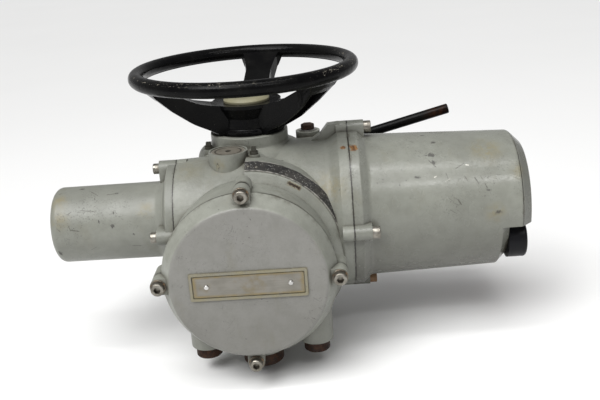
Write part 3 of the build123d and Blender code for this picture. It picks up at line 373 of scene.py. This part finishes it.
# ================= Black paint =================
def black_paint(name, flecks=0.5, rim=False, tip=None):
    """Gloss black paint over cast iron, worn through in pale flecks.

    rim gathers the flecks along the front and top of the wheel's rim. tip is a rusty place.
    """
    f = Finish(name)
    uneven = f.ramp(f.noise(30, 4, 0.6), 0.35, 0.7)
    colour = f.tint(uneven, (0.0016, 0.0016, 0.0019), (0.0042, 0.0041, 0.0039))
    dust = f.ramp(f.noise(80, 6, 0.7, shift=3), 0.55, 0.8, 0.0, 0.3)
    colour = f.tint(dust, colour, (0.020, 0.019, 0.016))
    speck = f.noise(420, 5, 0.72, shift=6.6)
    if rim:
        x, y, z = f.axes()
        upper = f.ramp(z, RIM_Z - 0.002, RIM_Z + 0.006)
        front = f.ramp(f.math("ADD", f.both(x, 0.5), f.both(y, -1.0)), -0.06, 0.07, 0.1, 1.0)
        patchy = f.ramp(f.noise(24, 4, 0.6, shift=2.5), 0.40, 0.62, 0.1, 1.0)
        more = f.both(f.both(f.both(upper, front), patchy), 0.10)
        fleck = f.ramp(f.math("ADD", speck, more), 0.685, 0.72)
        line = f.ramp(f.noise(1, 3, 0.6, f.stretched((170, 170, 900)), 1.3), 0.60, 0.65)
        ridge = f.ramp(z, RIM_Z + 0.003, RIM_Z + 0.006)
        ridge = f.both(ridge, f.ramp(z, RIM_Z + 0.0065, RIM_Z + 0.0078, 1, 0))
        fleck = f.either(fleck, f.both(f.both(line, ridge), f.both(front, patchy)))
    else:
        fleck = f.ramp(speck, 0.74 - flecks * 0.06, 0.78 - flecks * 0.06)
    pale = f.tint(f.noise(900, 3), (0.10, 0.09, 0.07), (0.42, 0.39, 0.32))
    colour = f.tint(f.both(fleck, 0.8), colour, pale)
    if tip:
        colour = f.tint(f.haze(tip, 0.024, 0.6), colour, (0.075, 0.028, 0.011))
    gloss = f.ramp(f.noise(60, 3), 0.3, 0.7, 0.16, 0.28)
    rough = f.math("ADD", gloss, f.both(f.either(dust, fleck), 0.5), clamp=True)
    f.bump(f.noise(190, 3, 0.5), 0.0003)
    f.bump(f.math("SUBTRACT", 1.0, fleck), 0.00015)
    return f.end(colour, rough, Specular_IOR_Level=0.08)


# ================= Metals, plastics and the rest =================
def metal(name, light, dark, rough=(0.25, 0.45), rust=0.0, rusty_below=None):
    """Bare metal with uneven polish, and rust where it has been left wet."""
    f = Finish(name)
    colour = f.tint(f.ramp(f.noise(120, 4, 0.6), 0.3, 0.7), dark, light)
    amount = f.ramp(f.noise(140, 6, 0.68, shift=8), 0.66 - rust * 0.4, 0.78 - rust * 0.4)
    if rust <= 0:
        amount = f.both(amount, 0.15)
    if rusty_below is not None:
        wet = f.ramp(f.axes()[2], rusty_below, rusty_below + 0.004, 1, 0)
        amount = f.either(amount, f.both(wet, 0.85))
    corner = f.both(f.hollows(0.003), 0.7)
    colour = f.tint(corner, colour, (0.05, 0.035, 0.022))
    brown = f.tint(f.noise(500, 4, 0.65), DARK_RUST, RUST)
    colour = f.tint(amount, colour, brown)
    shiny = f.ramp(f.noise(200, 3), 0.3, 0.7, *rough)
    f.bump(f.noise(700, 3, 0.6), 0.00006)
    f.bump(f.both(amount, f.noise(600, 4, 0.7)), 0.00015)
    total = f.math("ADD", shiny, f.both(amount, 0.45), clamp=True)
    covered = f.either(amount, f.both(corner, 0.5))
    return f.end(colour, total, Metallic=f.math("SUBTRACT", 1.0, covered, clamp=True))


def plastic(name, base, dust=(0.3, 0.28, 0.24), rough=(0.35, 0.55), amount=0.3, specular=0.5):
    """Moulded plastic with a fine spark-eroded grain and dust in the corners."""
    f = Finish(name)
    colour = f.tint(f.ramp(f.noise(40, 4, 0.6), 0.3, 0.7), shade(base, 0.85), shade(base, 1.15))
    patches = f.ramp(f.noise(90, 6, 0.7, shift=2), 0.56, 0.8, 0, amount)
    dirty = f.either(patches, f.both(f.hollows(0.004), amount * 1.6))
    colour = f.tint(dirty, colour, dust)
    f.bump(f.noise(1500, 2, 0.6), 0.00008)
    dull = f.math("ADD", f.ramp(f.noise(150, 3), 0.3, 0.7, *rough), f.both(dirty, 0.2), clamp=True)
    return f.end(colour, dull, Specular_IOR_Level=specular)


def rusted(name):
    """A steel plug rusted all over."""
    f = Finish(name)
    patchy = f.ramp(f.noise(190, 6, 0.7), 0.3, 0.75)
    brown = f.tint(patchy, (0.008, 0.0055, 0.0045), (0.058, 0.024, 0.011))
    grey = f.ramp(f.noise(60, 4, 0.6, shift=5), 0.55, 0.72, 0, 0.7)
    brown = f.tint(grey, brown, (0.026, 0.022, 0.019))
    brown = f.tint(f.both(f.hollows(0.004), 0.7), brown, (0.012, 0.009, 0.007))
    f.bump(f.noise(420, 6, 0.75), 0.0006)
    rough = f.ramp(f.noise(90, 4), 0.3, 0.7, 0.55, 0.85)
    return f.end(brown, rough, Metallic=0.1, Specular_IOR_Level=0.25)


def strip_foil(name):
    """Dark label strip: a band of pale worn specks, and worn pale edges.

    The bands are set by depth, the distance from the shared frame's XZ plane towards -Y.
    """
    f = Finish(name)
    depth = f.both(f.axes()[1], -1.0)
    base = f.tint(f.ramp(f.noise(90, 5, 0.65), 0.3, 0.75), (0.010, 0.010, 0.011), (0.048, 0.044, 0.038))
    band = f.both(f.ramp(depth, 0.0862, 0.0870), f.ramp(depth, 0.0956, 0.0964, 1, 0))
    speck = f.both(f.ramp(f.cells(640), 0.36, 0.20), f.ramp(f.noise(230, 3, 0.6, shift=4), 0.42, 0.56))
    colour = f.tint(f.both(f.both(speck, band), 0.75), base, (0.42, 0.41, 0.38))
    middle = f.both(f.ramp(depth, 0.0848, 0.0854), f.ramp(depth, 0.0974, 0.0980, 1, 0))
    edge = f.math("SUBTRACT", 1.0, middle)
    colour = f.tint(f.both(edge, f.ramp(f.noise(160, 4), 0.35, 0.6)), colour, (0.3, 0.29, 0.26))
    f.bump(f.noise(380, 4, 0.6), 0.0002)
    return f.end(colour, f.ramp(f.noise(120, 4), 0.3, 0.7, 0.4, 0.62))


def worn_plate(name):
    """Brushed aluminium plate, softly worn, with a brown dirty border."""
    f = Finish(name)
    x, _, z = f.axes()
    brush = f.noise(1, 3, 0.6, f.stretched((35, 400, 2600)))
    colour = f.tint(brush, (0.185, 0.176, 0.156), (0.285, 0.272, 0.243))
    tall = f.math("ABSOLUTE", f.math("SUBTRACT", z, NECK[2]))
    wide = f.math("ABSOLUTE", x)
    rim = f.either(f.ramp(tall, 0.0078, 0.0105), f.ramp(wide, 0.0495, 0.0535))
    dirt = f.both(rim, f.ramp(f.noise(120, 5, 0.65), 0.3, 0.65, 0.25, 0.9))
    worn = f.ramp(f.noise(1, 2, 0.5, f.stretched((60, 1, 110)), 2.0), 0.4, 0.65, 0, 0.4)
    colour = f.tint(worn, colour, (0.17, 0.162, 0.135))
    colour = f.tint(dirt, colour, (0.23, 0.18, 0.085))
    colour = f.tint(f.ramp(f.noise(65, 5, 0.6, shift=6), 0.50, 0.72, 0, 0.7), colour, (0.20, 0.165, 0.10))
    f.bump(brush, 0.00004)
    dull = f.ramp(f.noise(80, 4), 0.3, 0.7, 0.34, 0.5)
    rough = f.math("ADD", dull, f.both(dirt, 0.3), clamp=True)
    return f.end(colour, rough, Metallic=f.math("SUBTRACT", 0.85, f.both(dirt, 0.6)))


def boss_disc(name):
    """Cast aluminium cap: brown-grey, with a turned groove, a paler rim and a dark centre."""
    f = Finish(name)
    # reach is the distance from the cap's upright axis.
    reach = f.away(BOSS_CAP, (1, 1, 0))
    colour = f.tint(f.noise(160, 5, 0.65), (0.15, 0.13, 0.10), (0.31, 0.29, 0.245))
    colour = f.tint(f.both(f.ramp(reach, 0.0165, 0.0178), 0.7), colour, (0.42, 0.41, 0.37))
    groove = f.both(f.ramp(reach, 0.0126, 0.0132), f.ramp(reach, 0.0142, 0.0148, 1, 0))
    colour = f.tint(f.both(groove, 0.85), colour, (0.045, 0.038, 0.03))
    colour = f.tint(f.both(f.ramp(reach, 0.0035, 0.0028), 0.9), colour, (0.03, 0.025, 0.02))
    f.bump(f.math("SUBTRACT", 1.0, groove), 0.0006)
    f.bump(f.noise(300, 4, 0.6), 0.0003)
    return f.end(colour, f.ramp(f.noise(90, 4), 0.3, 0.7, 0.42, 0.65), Metallic=0.45)


def stacked(name, light, dark, along, pitch):
    """Thin laminations or wire, seen as fine lines across one axis."""
    f = Finish(name)
    line = f.math("SINE", f.both(f.axes()[along], 2 * math.pi / pitch))
    line = f.ramp(line, -0.6, 0.6)
    colour = f.tint(line, dark, light)
    colour = f.tint(f.ramp(f.noise(100, 4), 0.5, 0.75, 0, 0.5), colour, shade(light, 0.6))
    f.bump(line, 0.0003)
    return f.end(colour, f.ramp(f.noise(150, 3), 0.3, 0.7, 0.3, 0.5), Metallic=0.8)


def board(name):
    """Green circuit board: solder mask, tracks and small parts as a fine pattern."""
    f = Finish(name)
    tracks = f.ramp(f.cells(330, feature="DISTANCE_TO_EDGE"), 0.02, 0.05)
    colour = f.tint(tracks, (0.05, 0.20, 0.08), (0.015, 0.075, 0.03))
    colour = f.tint(f.ramp(f.cells(500), 0.16, 0.12), colour, (0.55, 0.52, 0.45))
    f.bump(tracks, 0.0001)
    return f.end(colour, f.ramp(f.noise(200, 2), 0.3, 0.7, 0.28, 0.4))


def window_pane(name):
    """Clear window, lightly scratched."""
    f = Finish(name)
    haze = f.noise(1, 3, 0.6, f.stretched((1, 500, 60)))
    f.bump(haze, 0.00002)
    colour = f.tint(f.noise(60, 3), (0.90, 0.95, 0.94), (0.97, 0.99, 0.985))
    rough = f.ramp(haze, 0.55, 0.8, 0.04, 0.25)
    return f.end(colour, rough, Transmission_Weight=0.92, IOR=1.49)


# ================= A finish for every CAD piece =================
# Marks are placed by points on the painted faces, in metres.
finishes = {}
finishes["gearcase"] = grey_paint(
    "gearcase_paint",
    seams=((0, CONTROL_JOINT, 0.0010), (0, MOTOR_JOINT, 0.0010), (1, NECK_JOINT, 0.0026)),
    rust=(((0.1025, -0.0545, 0.2236), 0.0036), ((0.107, 0.030, 0.222), 0.006)),
    stains=(((-0.029, -0.080, 0.219), 0.014), ((0.085, -0.085, 0.19), 0.03), ((-0.060, -0.06, 0.2), 0.03)),
    chips=(((-0.030, -0.0800, 0.2185), 0.0030, (1, 1, 0.6)),),
    gouges=(((0.0415, -0.1012, 0.2045), (0.0570, -0.1012, 0.1950), 0.0022),),
    wear=0.55, cast=1.3,
)
finishes["thrust_base"] = grey_paint("base_paint", seams=((2, BASE_JOINT, 0.0008),), wear=0.7, cast=1.2)
finishes["control_cover"] = grey_paint(
    "electrical_cover_paint",
    seams=((0, CONTROL_JOINT, 0.0013), (0, CONTROL_END_RING, 0.0007)),
    rust=(((0.1125, -0.0561, 0.2228), 0.0056),),
    stains=(
        ((0.2535, -0.0521, 0.2102), 0.026), ((0.2563, -0.0895, 0.1523), 0.016),
        ((0.283, -0.070, 0.190), 0.014),
    ),
    chips=(
        ((0.1996, -0.0381, 0.2182), 0.0020, (0.6, 1, 1)), ((0.1900, -0.0200, 0.2219), 0.0015, (0.6, 1, 1)),
        ((0.1935, -0.0565, 0.2099), 0.0036, (0.7, 1, 1)), ((0.1961, -0.0645, 0.2038), 0.0024, (1, 0.7, 0.7)),
        ((0.1774, -0.0765, 0.1922), 0.0015, (0.5, 1, 1)), ((0.2500, -0.0834, 0.1760), 0.0013, (0.5, 1, 1)),
        ((0.2592, -0.0894, 0.1527), 0.0020, (0.5, 1, 1)), ((0.2820, -0.0790, 0.1800), 0.0012, (1, 1, 1)),
    ),
    # Pale marks of worn-through paint; the first is a painted glint.
    bare_and_glints=(
        ((0.2284, -0.0670, 0.1999), (0.2328, -0.0677, 0.1994), 0.0009),
        ((0.1945, -0.0770, 0.1908), (0.1978, -0.0756, 0.1925), 0.0008),
        ((0.2050, -0.0792, 0.1862), (0.2110, -0.0772, 0.1890), 0.0005),
    ),
    scratches=[
        ((0.2159, -0.0714, 0.1963), (0.2288, -0.0652, 0.2018), 0.0006),
        ((0.2358, -0.0760, 0.1896), (0.2414, -0.0811, 0.1813), 0.0007),
        ((0.2425, -0.0752, 0.1903), (0.2499, -0.0834, 0.1760), 0.0007),
        ((0.2170, -0.0871, 0.1698), (0.2213, -0.0890, 0.1627), 0.0008),
        ((0.1900, -0.0610, 0.2068), (0.1990, -0.0700, 0.1985), 0.0007),
        ((0.1960, -0.0800, 0.1850), (0.2040, -0.0735, 0.1945), 0.0005),
        ((0.2100, -0.0790, 0.1865), (0.2070, -0.0730, 0.1950), 0.0006),
        ((0.2300, -0.0800, 0.1845), (0.2250, -0.0745, 0.1930), 0.0005),
    ] + scattered(11, 14, BODY, 0.0750, (0.13, 0.28), (0.005, 0.014)),
    marked=(((0.200, -0.050, 0.213), 0.030), ((0.215, -0.083, 0.180), 0.030), ((0.250, -0.08, 0.175), 0.02)),
    # dark_end paints shade on the end past the end ring.
    base=shade(PAINT, 0.91), wear=0.8, cast=0.35, dark_end=CONTROL_END_RING + 0.0004, rough=(0.20, 0.30),
    # Stronger painted shade on the electrical cover's underside.
    low=(0.085, 0.175, 0.75),
)
finishes["motor_cover"] = grey_paint(
    "motor_cover_paint", seams=((0, MOTOR_JOINT, 0.0011),),
    stains=(
        ((-0.2037, -0.0677, 0.1874), 0.016), ((-0.2023, -0.0818, 0.1717), 0.016),
        ((-0.110, -0.080, 0.176), 0.014),
    ),
    chips=(
        ((-0.1820, -0.0494, 0.1941), 0.0018, (0.7, 1, 1)), ((-0.1440, -0.0800, 0.1751), 0.0010, (1, 1, 1)),
        ((-0.1457, -0.0853, 0.1625), 0.0019, (0.8, 1, 1)),
        ((-0.1600, -0.0837, 0.1677), 0.0012, (1, 0.6, 0.6)),
        ((-0.1243, -0.0865, 0.1523), 0.0012, (1, 1, 1)), ((-0.1423, -0.0620, 0.1907), 0.0012, (0.6, 1, 1)),
        ((-0.2070, -0.0810, 0.1340), 0.0020, (1, 1, 0.5)),
    ),
    scratches=[
        ((-0.1751, -0.0534, 0.1934), (-0.1608, -0.0648, 0.1893), 0.0007),
        ((-0.1542, -0.0631, 0.1902), (-0.1423, -0.0620, 0.1907), 0.0007),
        ((-0.1821, -0.0768, 0.1793), (-0.1620, -0.0785, 0.1772), 0.0006),
        ((-0.1929, -0.0842, 0.1658), (-0.1903, -0.0858, 0.1592), 0.0007),
        ((-0.1921, -0.0854, 0.1611), (-0.1803, -0.0859, 0.1586), 0.0008),
        ((-0.1288, -0.0839, 0.1386), (-0.1168, -0.0836, 0.1377), 0.0005),
        ((-0.1940, -0.0796, 0.1754), (-0.1888, -0.0774, 0.1786), 0.0006),
        ((-0.2086, -0.0827, 0.1376), (-0.2054, -0.0793, 0.1301), 0.0009),
        ((-0.1700, -0.0560, 0.1925), (-0.1640, -0.0700, 0.1865), 0.0006),
    ] + scattered(5, 16, MOTOR, 0.0412, (-0.205, -0.10), (0.004, 0.012)),
    marked=(((-0.150, -0.075, 0.180), 0.040), ((-0.190, -0.083, 0.150), 0.025)),
    base=shade(PAINT, 0.85), wear=0.85, cast=0.55,
)
finishes["terminal_cover"] = grey_paint(
    "terminal_cover_paint", seams=((1, NECK_JOINT, 0.0026),),
    marked=(((0.070, -0.160, 0.160), 0.030), ((-0.060, -0.160, 0.070), 0.030)),
    wear=0.6, cast=1.2, face=True,
)
finishes["data_plate"] = worn_plate("data_plate_metal")
finishes["label_strip"] = strip_foil("label_foil")
finishes["boss_cap"] = boss_disc("boss_cap_metal")
finishes["handwheel"] = black_paint("handwheel_paint", rim=True)
finishes["hand_auto_lever"] = black_paint("lever_paint", flecks=0.35, tip=(0.225, 0.092, 0.215))
finishes["hub_cap"] = plastic(
    "hub_cap_plastic", (0.200, 0.186, 0.115), dust=(0.075, 0.066, 0.040), amount=0.65,
)
finishes["window_glass"] = window_pane("window_clear")

screw_steel = metal(
    "screw_steel", (0.31, 0.295, 0.26), (0.15, 0.138, 0.115), rough=(0.34, 0.55), rust=0.16,
)
rusty_screw_steel = metal(
    "cover_screw_steel", (0.36, 0.34, 0.30), (0.18, 0.165, 0.14),
    rough=(0.32, 0.52), rust=0.15, rusty_below=0.066,
)
plain_steel = metal("plain_steel", (0.60, 0.59, 0.57), (0.42, 0.42, 0.41))
gear_steel = metal("gear_steel", (0.42, 0.42, 0.43), (0.27, 0.27, 0.28), rough=(0.2, 0.38))
turned_bronze = metal("gear_bronze", (0.66, 0.42, 0.17), (0.48, 0.29, 0.11), rough=(0.22, 0.4))
yellow_brass = metal("terminal_brass", (0.78, 0.60, 0.28), (0.58, 0.43, 0.19))
cast_aluminium = metal("cast_aluminium", (0.62, 0.62, 0.61), (0.45, 0.45, 0.44), rough=(0.35, 0.55))
seal_rubber = plastic("seal_rubber", (0.022, 0.022, 0.023), rough=(0.55, 0.75), amount=0.2)
black_moulding = plastic("black_moulding", (0.024, 0.024, 0.026))
knob_black = plastic(
    "knob_black", (0.0060, 0.0060, 0.0075), dust=(0.04, 0.038, 0.034),
    rough=(0.3, 0.45), amount=0.25, specular=0.15,
)
knob_red = plastic("knob_red", (0.42, 0.022, 0.018), dust=(0.2, 0.1, 0.08), rough=(0.25, 0.42))
rust_brown = rusted("rusty_plug_steel")
grimy_plug = plastic(
    "grimy_plug_paint", (0.040, 0.038, 0.028), dust=(0.022, 0.016, 0.010),
    rough=(0.45, 0.65), amount=0.7,
)
laminated = stacked("laminated_iron", (0.36, 0.36, 0.38), (0.17, 0.17, 0.18), 0, 0.0012)
copper_wire = stacked("copper_wire", (0.72, 0.33, 0.15), (0.38, 0.15, 0.06), 0, 0.0011)
green_board = board("circuit_board")

shared = {
    screw_steel: ["base_screws", "motor_cover_screws", "terminal_cover_screws"],
    rusty_screw_steel: ["control_cover_screws"],
    plain_steel: [
        "knob_spindles", "oil_filler_washer", "thrust_bearings", "column_bearing", "shaft_bearings",
        "sleeve_bearing", "electronics_chassis", "data_plate_rivets",
    ],
    gear_steel: [
        "centre_column", "worm_shaft", "torque_springs", "clutch_ring", "hand_drive_sleeve",
        "clutch_fork", "lever_spring", "lever_shaft",
    ],
    turned_bronze: ["drive_bush", "worm_wheel"],
    yellow_brass: ["terminal_studs"],
    cast_aluminium: ["motor_end_shield"],
    seal_rubber: [
        "base_oring", "base_seal", "control_cover_oring", "motor_cover_oring", "terminal_cover_oring",
        "sleeve_seal", "lever_seal",
    ],
    black_moulding: ["window_bezel", "encoder_ring", "terminal_block", "contactors", "display_module"],
    knob_black: ["open_close_knob"],
    knob_red: ["local_remote_knob"],
    rust_brown: ["oil_filler_plug", "conduit_plug_large", "conduit_plugs_small"],
    grimy_plug: ["pipe_plugs"],
    laminated: ["motor_stator", "motor_rotor", "power_transformer"],
    copper_wire: ["motor_windings"],
    green_board: ["encoder_board", "main_board"],
}
for material, names in shared.items():
    for name in names:
        finishes[name] = material

for name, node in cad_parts.items():
    node.data.materials.clear()
    node.data.materials.append(finishes[name])


# ================= Small pieces built here =================
def linked(name, data):
    """A new object in the scene with this data."""
    thing = bpy.data.objects.new(name, data)
    bpy.context.collection.objects.link(thing)
    return thing


def as_piece(name, bm, material):
    """Turns a finished bmesh into an object with one material."""
    mesh = bpy.data.meshes.new(name)
    bm.to_mesh(mesh)
    bm.free()
    mesh.materials.append(material)
    return linked(name, mesh)


def lathe(name, profile, centre, direction, material, steps=32):
    """A turned piece: profile is (distance along direction, radius) from the centre."""
    bm = bmesh.new()
    rings = []
    for along, radius in profile:
        if radius <= 0:
            rings.append([bm.verts.new((0, 0, along))])
            continue
        turns = [2 * math.pi * k / steps for k in range(steps)]
        rings.append([bm.verts.new((radius * math.cos(t), radius * math.sin(t), along)) for t in turns])
    for low, high in zip(rings, rings[1:]):
        for k in range(steps):
            n = (k + 1) % steps
            corners = [low[k % len(low)], low[n % len(low)], high[n % len(high)], high[k % len(high)]]
            bm.faces.new(list(dict.fromkeys(corners)))
    bmesh.ops.recalc_face_normals(bm, faces=bm.faces)
    piece = as_piece(name, bm, material)
    piece.data.shade_smooth()
    piece.data.set_sharp_from_angle(angle=math.radians(40))
    axis = Vector(direction).normalized()
    piece.matrix_world = Matrix.Translation(centre) @ axis.to_track_quat("Z", "Y").to_matrix().to_4x4()
    return piece


def ride_on(piece, body):
    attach(piece, body)


def slabs(name, blocks, material, body):
    """Flat blocks in one mesh: each block is (centre, size)."""
    bm = bmesh.new()
    for centre, size in blocks:
        place = Matrix.Translation(centre) @ Matrix.Diagonal((*size, 1.0))
        bmesh.ops.create_cube(bm, size=1.0, matrix=place)
    ride_on(as_piece(name, bm, material), body)


# Washers under the heads of the terminal cover's screws, with a ring of rust.
WASHER_BORE_R = 0.0062
WASHER_R = 0.0080
WASHER_THICK = 0.0012
WASHER_SUNK = 0.0002
WASHER_SEAT = -0.157
SCREW_REACH = 0.090

washer_steel = metal("washer_steel", (0.22, 0.20, 0.165), (0.11, 0.098, 0.078), rust=0.42)
washer_profile = [
    (-WASHER_SUNK, WASHER_BORE_R), (-WASHER_SUNK, WASHER_R - 0.0001), (WASHER_THICK - 0.0003, WASHER_R),
    (WASHER_THICK, WASHER_R - 0.0003), (WASHER_THICK, WASHER_BORE_R), (-WASHER_SUNK, WASHER_BORE_R),
]
for k, (side, up) in enumerate(((1, 0), (0, 1), (-1, 0), (0, -1))):
    centre = (side * SCREW_REACH, WASHER_SEAT, NECK[2] + up * SCREW_REACH)
    washer = lathe(f"terminal_washer_{k + 1}", washer_profile, centre, (0, -1, 0), washer_steel)
    ride_on(washer, "housing")

# A pale pointer on each selector knob's grip, at the end that points along +Y at rest.
POINTER_SIZE = (0.0005, 0.0110, 0.0016)
POINTER_X = 0.29345
POINTER_OUT = 0.0125
KNOB_Z = 0.111

pointer_white = plastic("pointer_white", (0.55, 0.54, 0.50), dust=(0.2, 0.19, 0.16))
for label, knob_y in (("open_close", -0.057), ("local_remote", 0.027)):
    pointer = ((POINTER_X, knob_y + POINTER_OUT, KNOB_Z), POINTER_SIZE)
    slabs(f"{label}_pointer", [pointer], pointer_white, label)

# The display behind the window shows a bar for each tenth of travel.
SCREEN_X = 0.28525
SCREEN_CENTRE_Z = 0.171
BARS_X = 0.28555
BARS_BOTTOM = 0.1630
FIRST_BAR_Y = -0.0352
BAR_PITCH = 0.0045

screen_grey = plastic("screen_grey", (0.20, 0.23, 0.175), rough=(0.25, 0.35), amount=0.1)
screen = ((SCREEN_X, BODY[1], SCREEN_CENTRE_Z), (0.0004, 0.050, 0.022))
slabs("display_screen", [screen], screen_grey, "housing")
bars = []
for k in range(10):
    tall = 0.0030 + 0.0012 * k
    bars.append(((BARS_X, FIRST_BAR_Y + BAR_PITCH * k, BARS_BOTTOM + tall / 2), (0.0002, 0.0028, tall)))
slabs("display_bars", bars, knob_black, "housing")

# Domed rivets that hold the label strip's left end: place and outward direction of each.
rivet_profile = [
    (-0.0006, 0.0), (-0.0006, 0.0017), (0.0002, 0.0017), (0.0007, 0.0013), (0.0009, 0.0007), (0.00095, 0.0),
]
strip_rivets = (
    ((0.0035, -0.0922, 0.2207), (0.02, -0.38, 0.92)),
    ((0.0120, -0.0935, 0.2195), (0.11, -0.38, 0.92)),
)
for k, (place, outward) in enumerate(strip_rivets):
    rivet = lathe(f"strip_rivet_{k + 1}", rivet_profile, place, outward, screw_steel, 20)
    ride_on(rivet, "housing")

# ================= Floor, light and camera =================
FLOOR_HALF = 30
floor_corners = [(a * FLOOR_HALF, b * FLOOR_HALF, 0) for a, b in ((-1, -1), (1, -1), (1, 1), (-1, 1))]
floor_mesh = bpy.data.meshes.new("floor")
floor_mesh.from_pydata(floor_corners, [], [(0, 1, 2, 3)])
floor = linked("floor", floor_mesh)
paper = Finish("floor_paper")
paper_white = paper.tint(paper.noise(2, 2), (0.83, 0.83, 0.825), (0.86, 0.86, 0.855))
floor_mesh.materials.append(paper.end(paper_white, 0.9))

world = bpy.data.worlds.new("studio")
world.use_nodes = True
sky = world.node_tree.nodes["Background"]
sky.inputs["Color"].default_value = (1.0, 1.0, 1.0, 1.0)
sky.inputs["Strength"].default_value = 0.34
bpy.context.scene.world = world


def aim(thing, place, towards):
    """Places a lamp so that it shines along towards."""
    turn = Vector(towards).to_track_quat("-Z", "Y").to_matrix().to_4x4()
    thing.matrix_world = Matrix.Translation(place) @ turn


def softbox(name, place, target, width, height, power):
    light = bpy.data.lights.new(name, "AREA")
    light.shape = "RECTANGLE"
    light.size = width
    light.size_y = height
    light.energy = power
    aim(linked(name, light), place, Vector(target) - Vector(place))


softbox("key_box", (-0.75, -1.15, 1.55), (0.05, -0.05, 0.12), 0.9, 0.7, 14)
# A narrow strip that the electrical cover's gloss shows as a pale band.
softbox("band_strip", (0.482, -0.870, 1.054), (0.2211, -0.0789, 0.1863), 0.34, 0.06, 1.6)
softbox("top_strip", (0.15, -0.35, 1.30), (0.12, -0.03, 0.15), 0.9, 0.12, 3)
sun_data = bpy.data.lights.new("sky_sun", "SUN")
sun_data.energy = 2.28
sun_data.angle = math.radians(50)
aim(linked("sky_sun", sun_data), (0, 0, 0), (0.28, 0.42, -0.86))

# The camera's place and angles: yaw about +Z from +Y, pitch down, and roll about its own axis.
CAMERA_PLACE = (0.079236, -0.907929, 0.459489)
YAW = -0.031
PITCH = 0.329
ROLL = -0.072
ahead = Vector((math.sin(YAW) * math.cos(PITCH), math.cos(YAW) * math.cos(PITCH), -math.sin(PITCH)))
level = Vector((math.cos(YAW), -math.sin(YAW), 0))
upright = level.cross(ahead)
right = math.cos(ROLL) * level + math.sin(ROLL) * upright
up = math.cos(ROLL) * upright - math.sin(ROLL) * level
camera_data = bpy.data.cameras.new("camera")
camera_data.sensor_width = 36.0
camera_data.lens = 50.07
camera_data.clip_start = 0.05
camera = linked("camera", camera_data)
facing = Matrix((right, up, -ahead)).transposed().to_4x4()
camera.matrix_world = Matrix.Translation(CAMERA_PLACE) @ facing
bpy.context.scene.camera = camera
bpy.context.scene.view_settings.view_transform = "Standard"
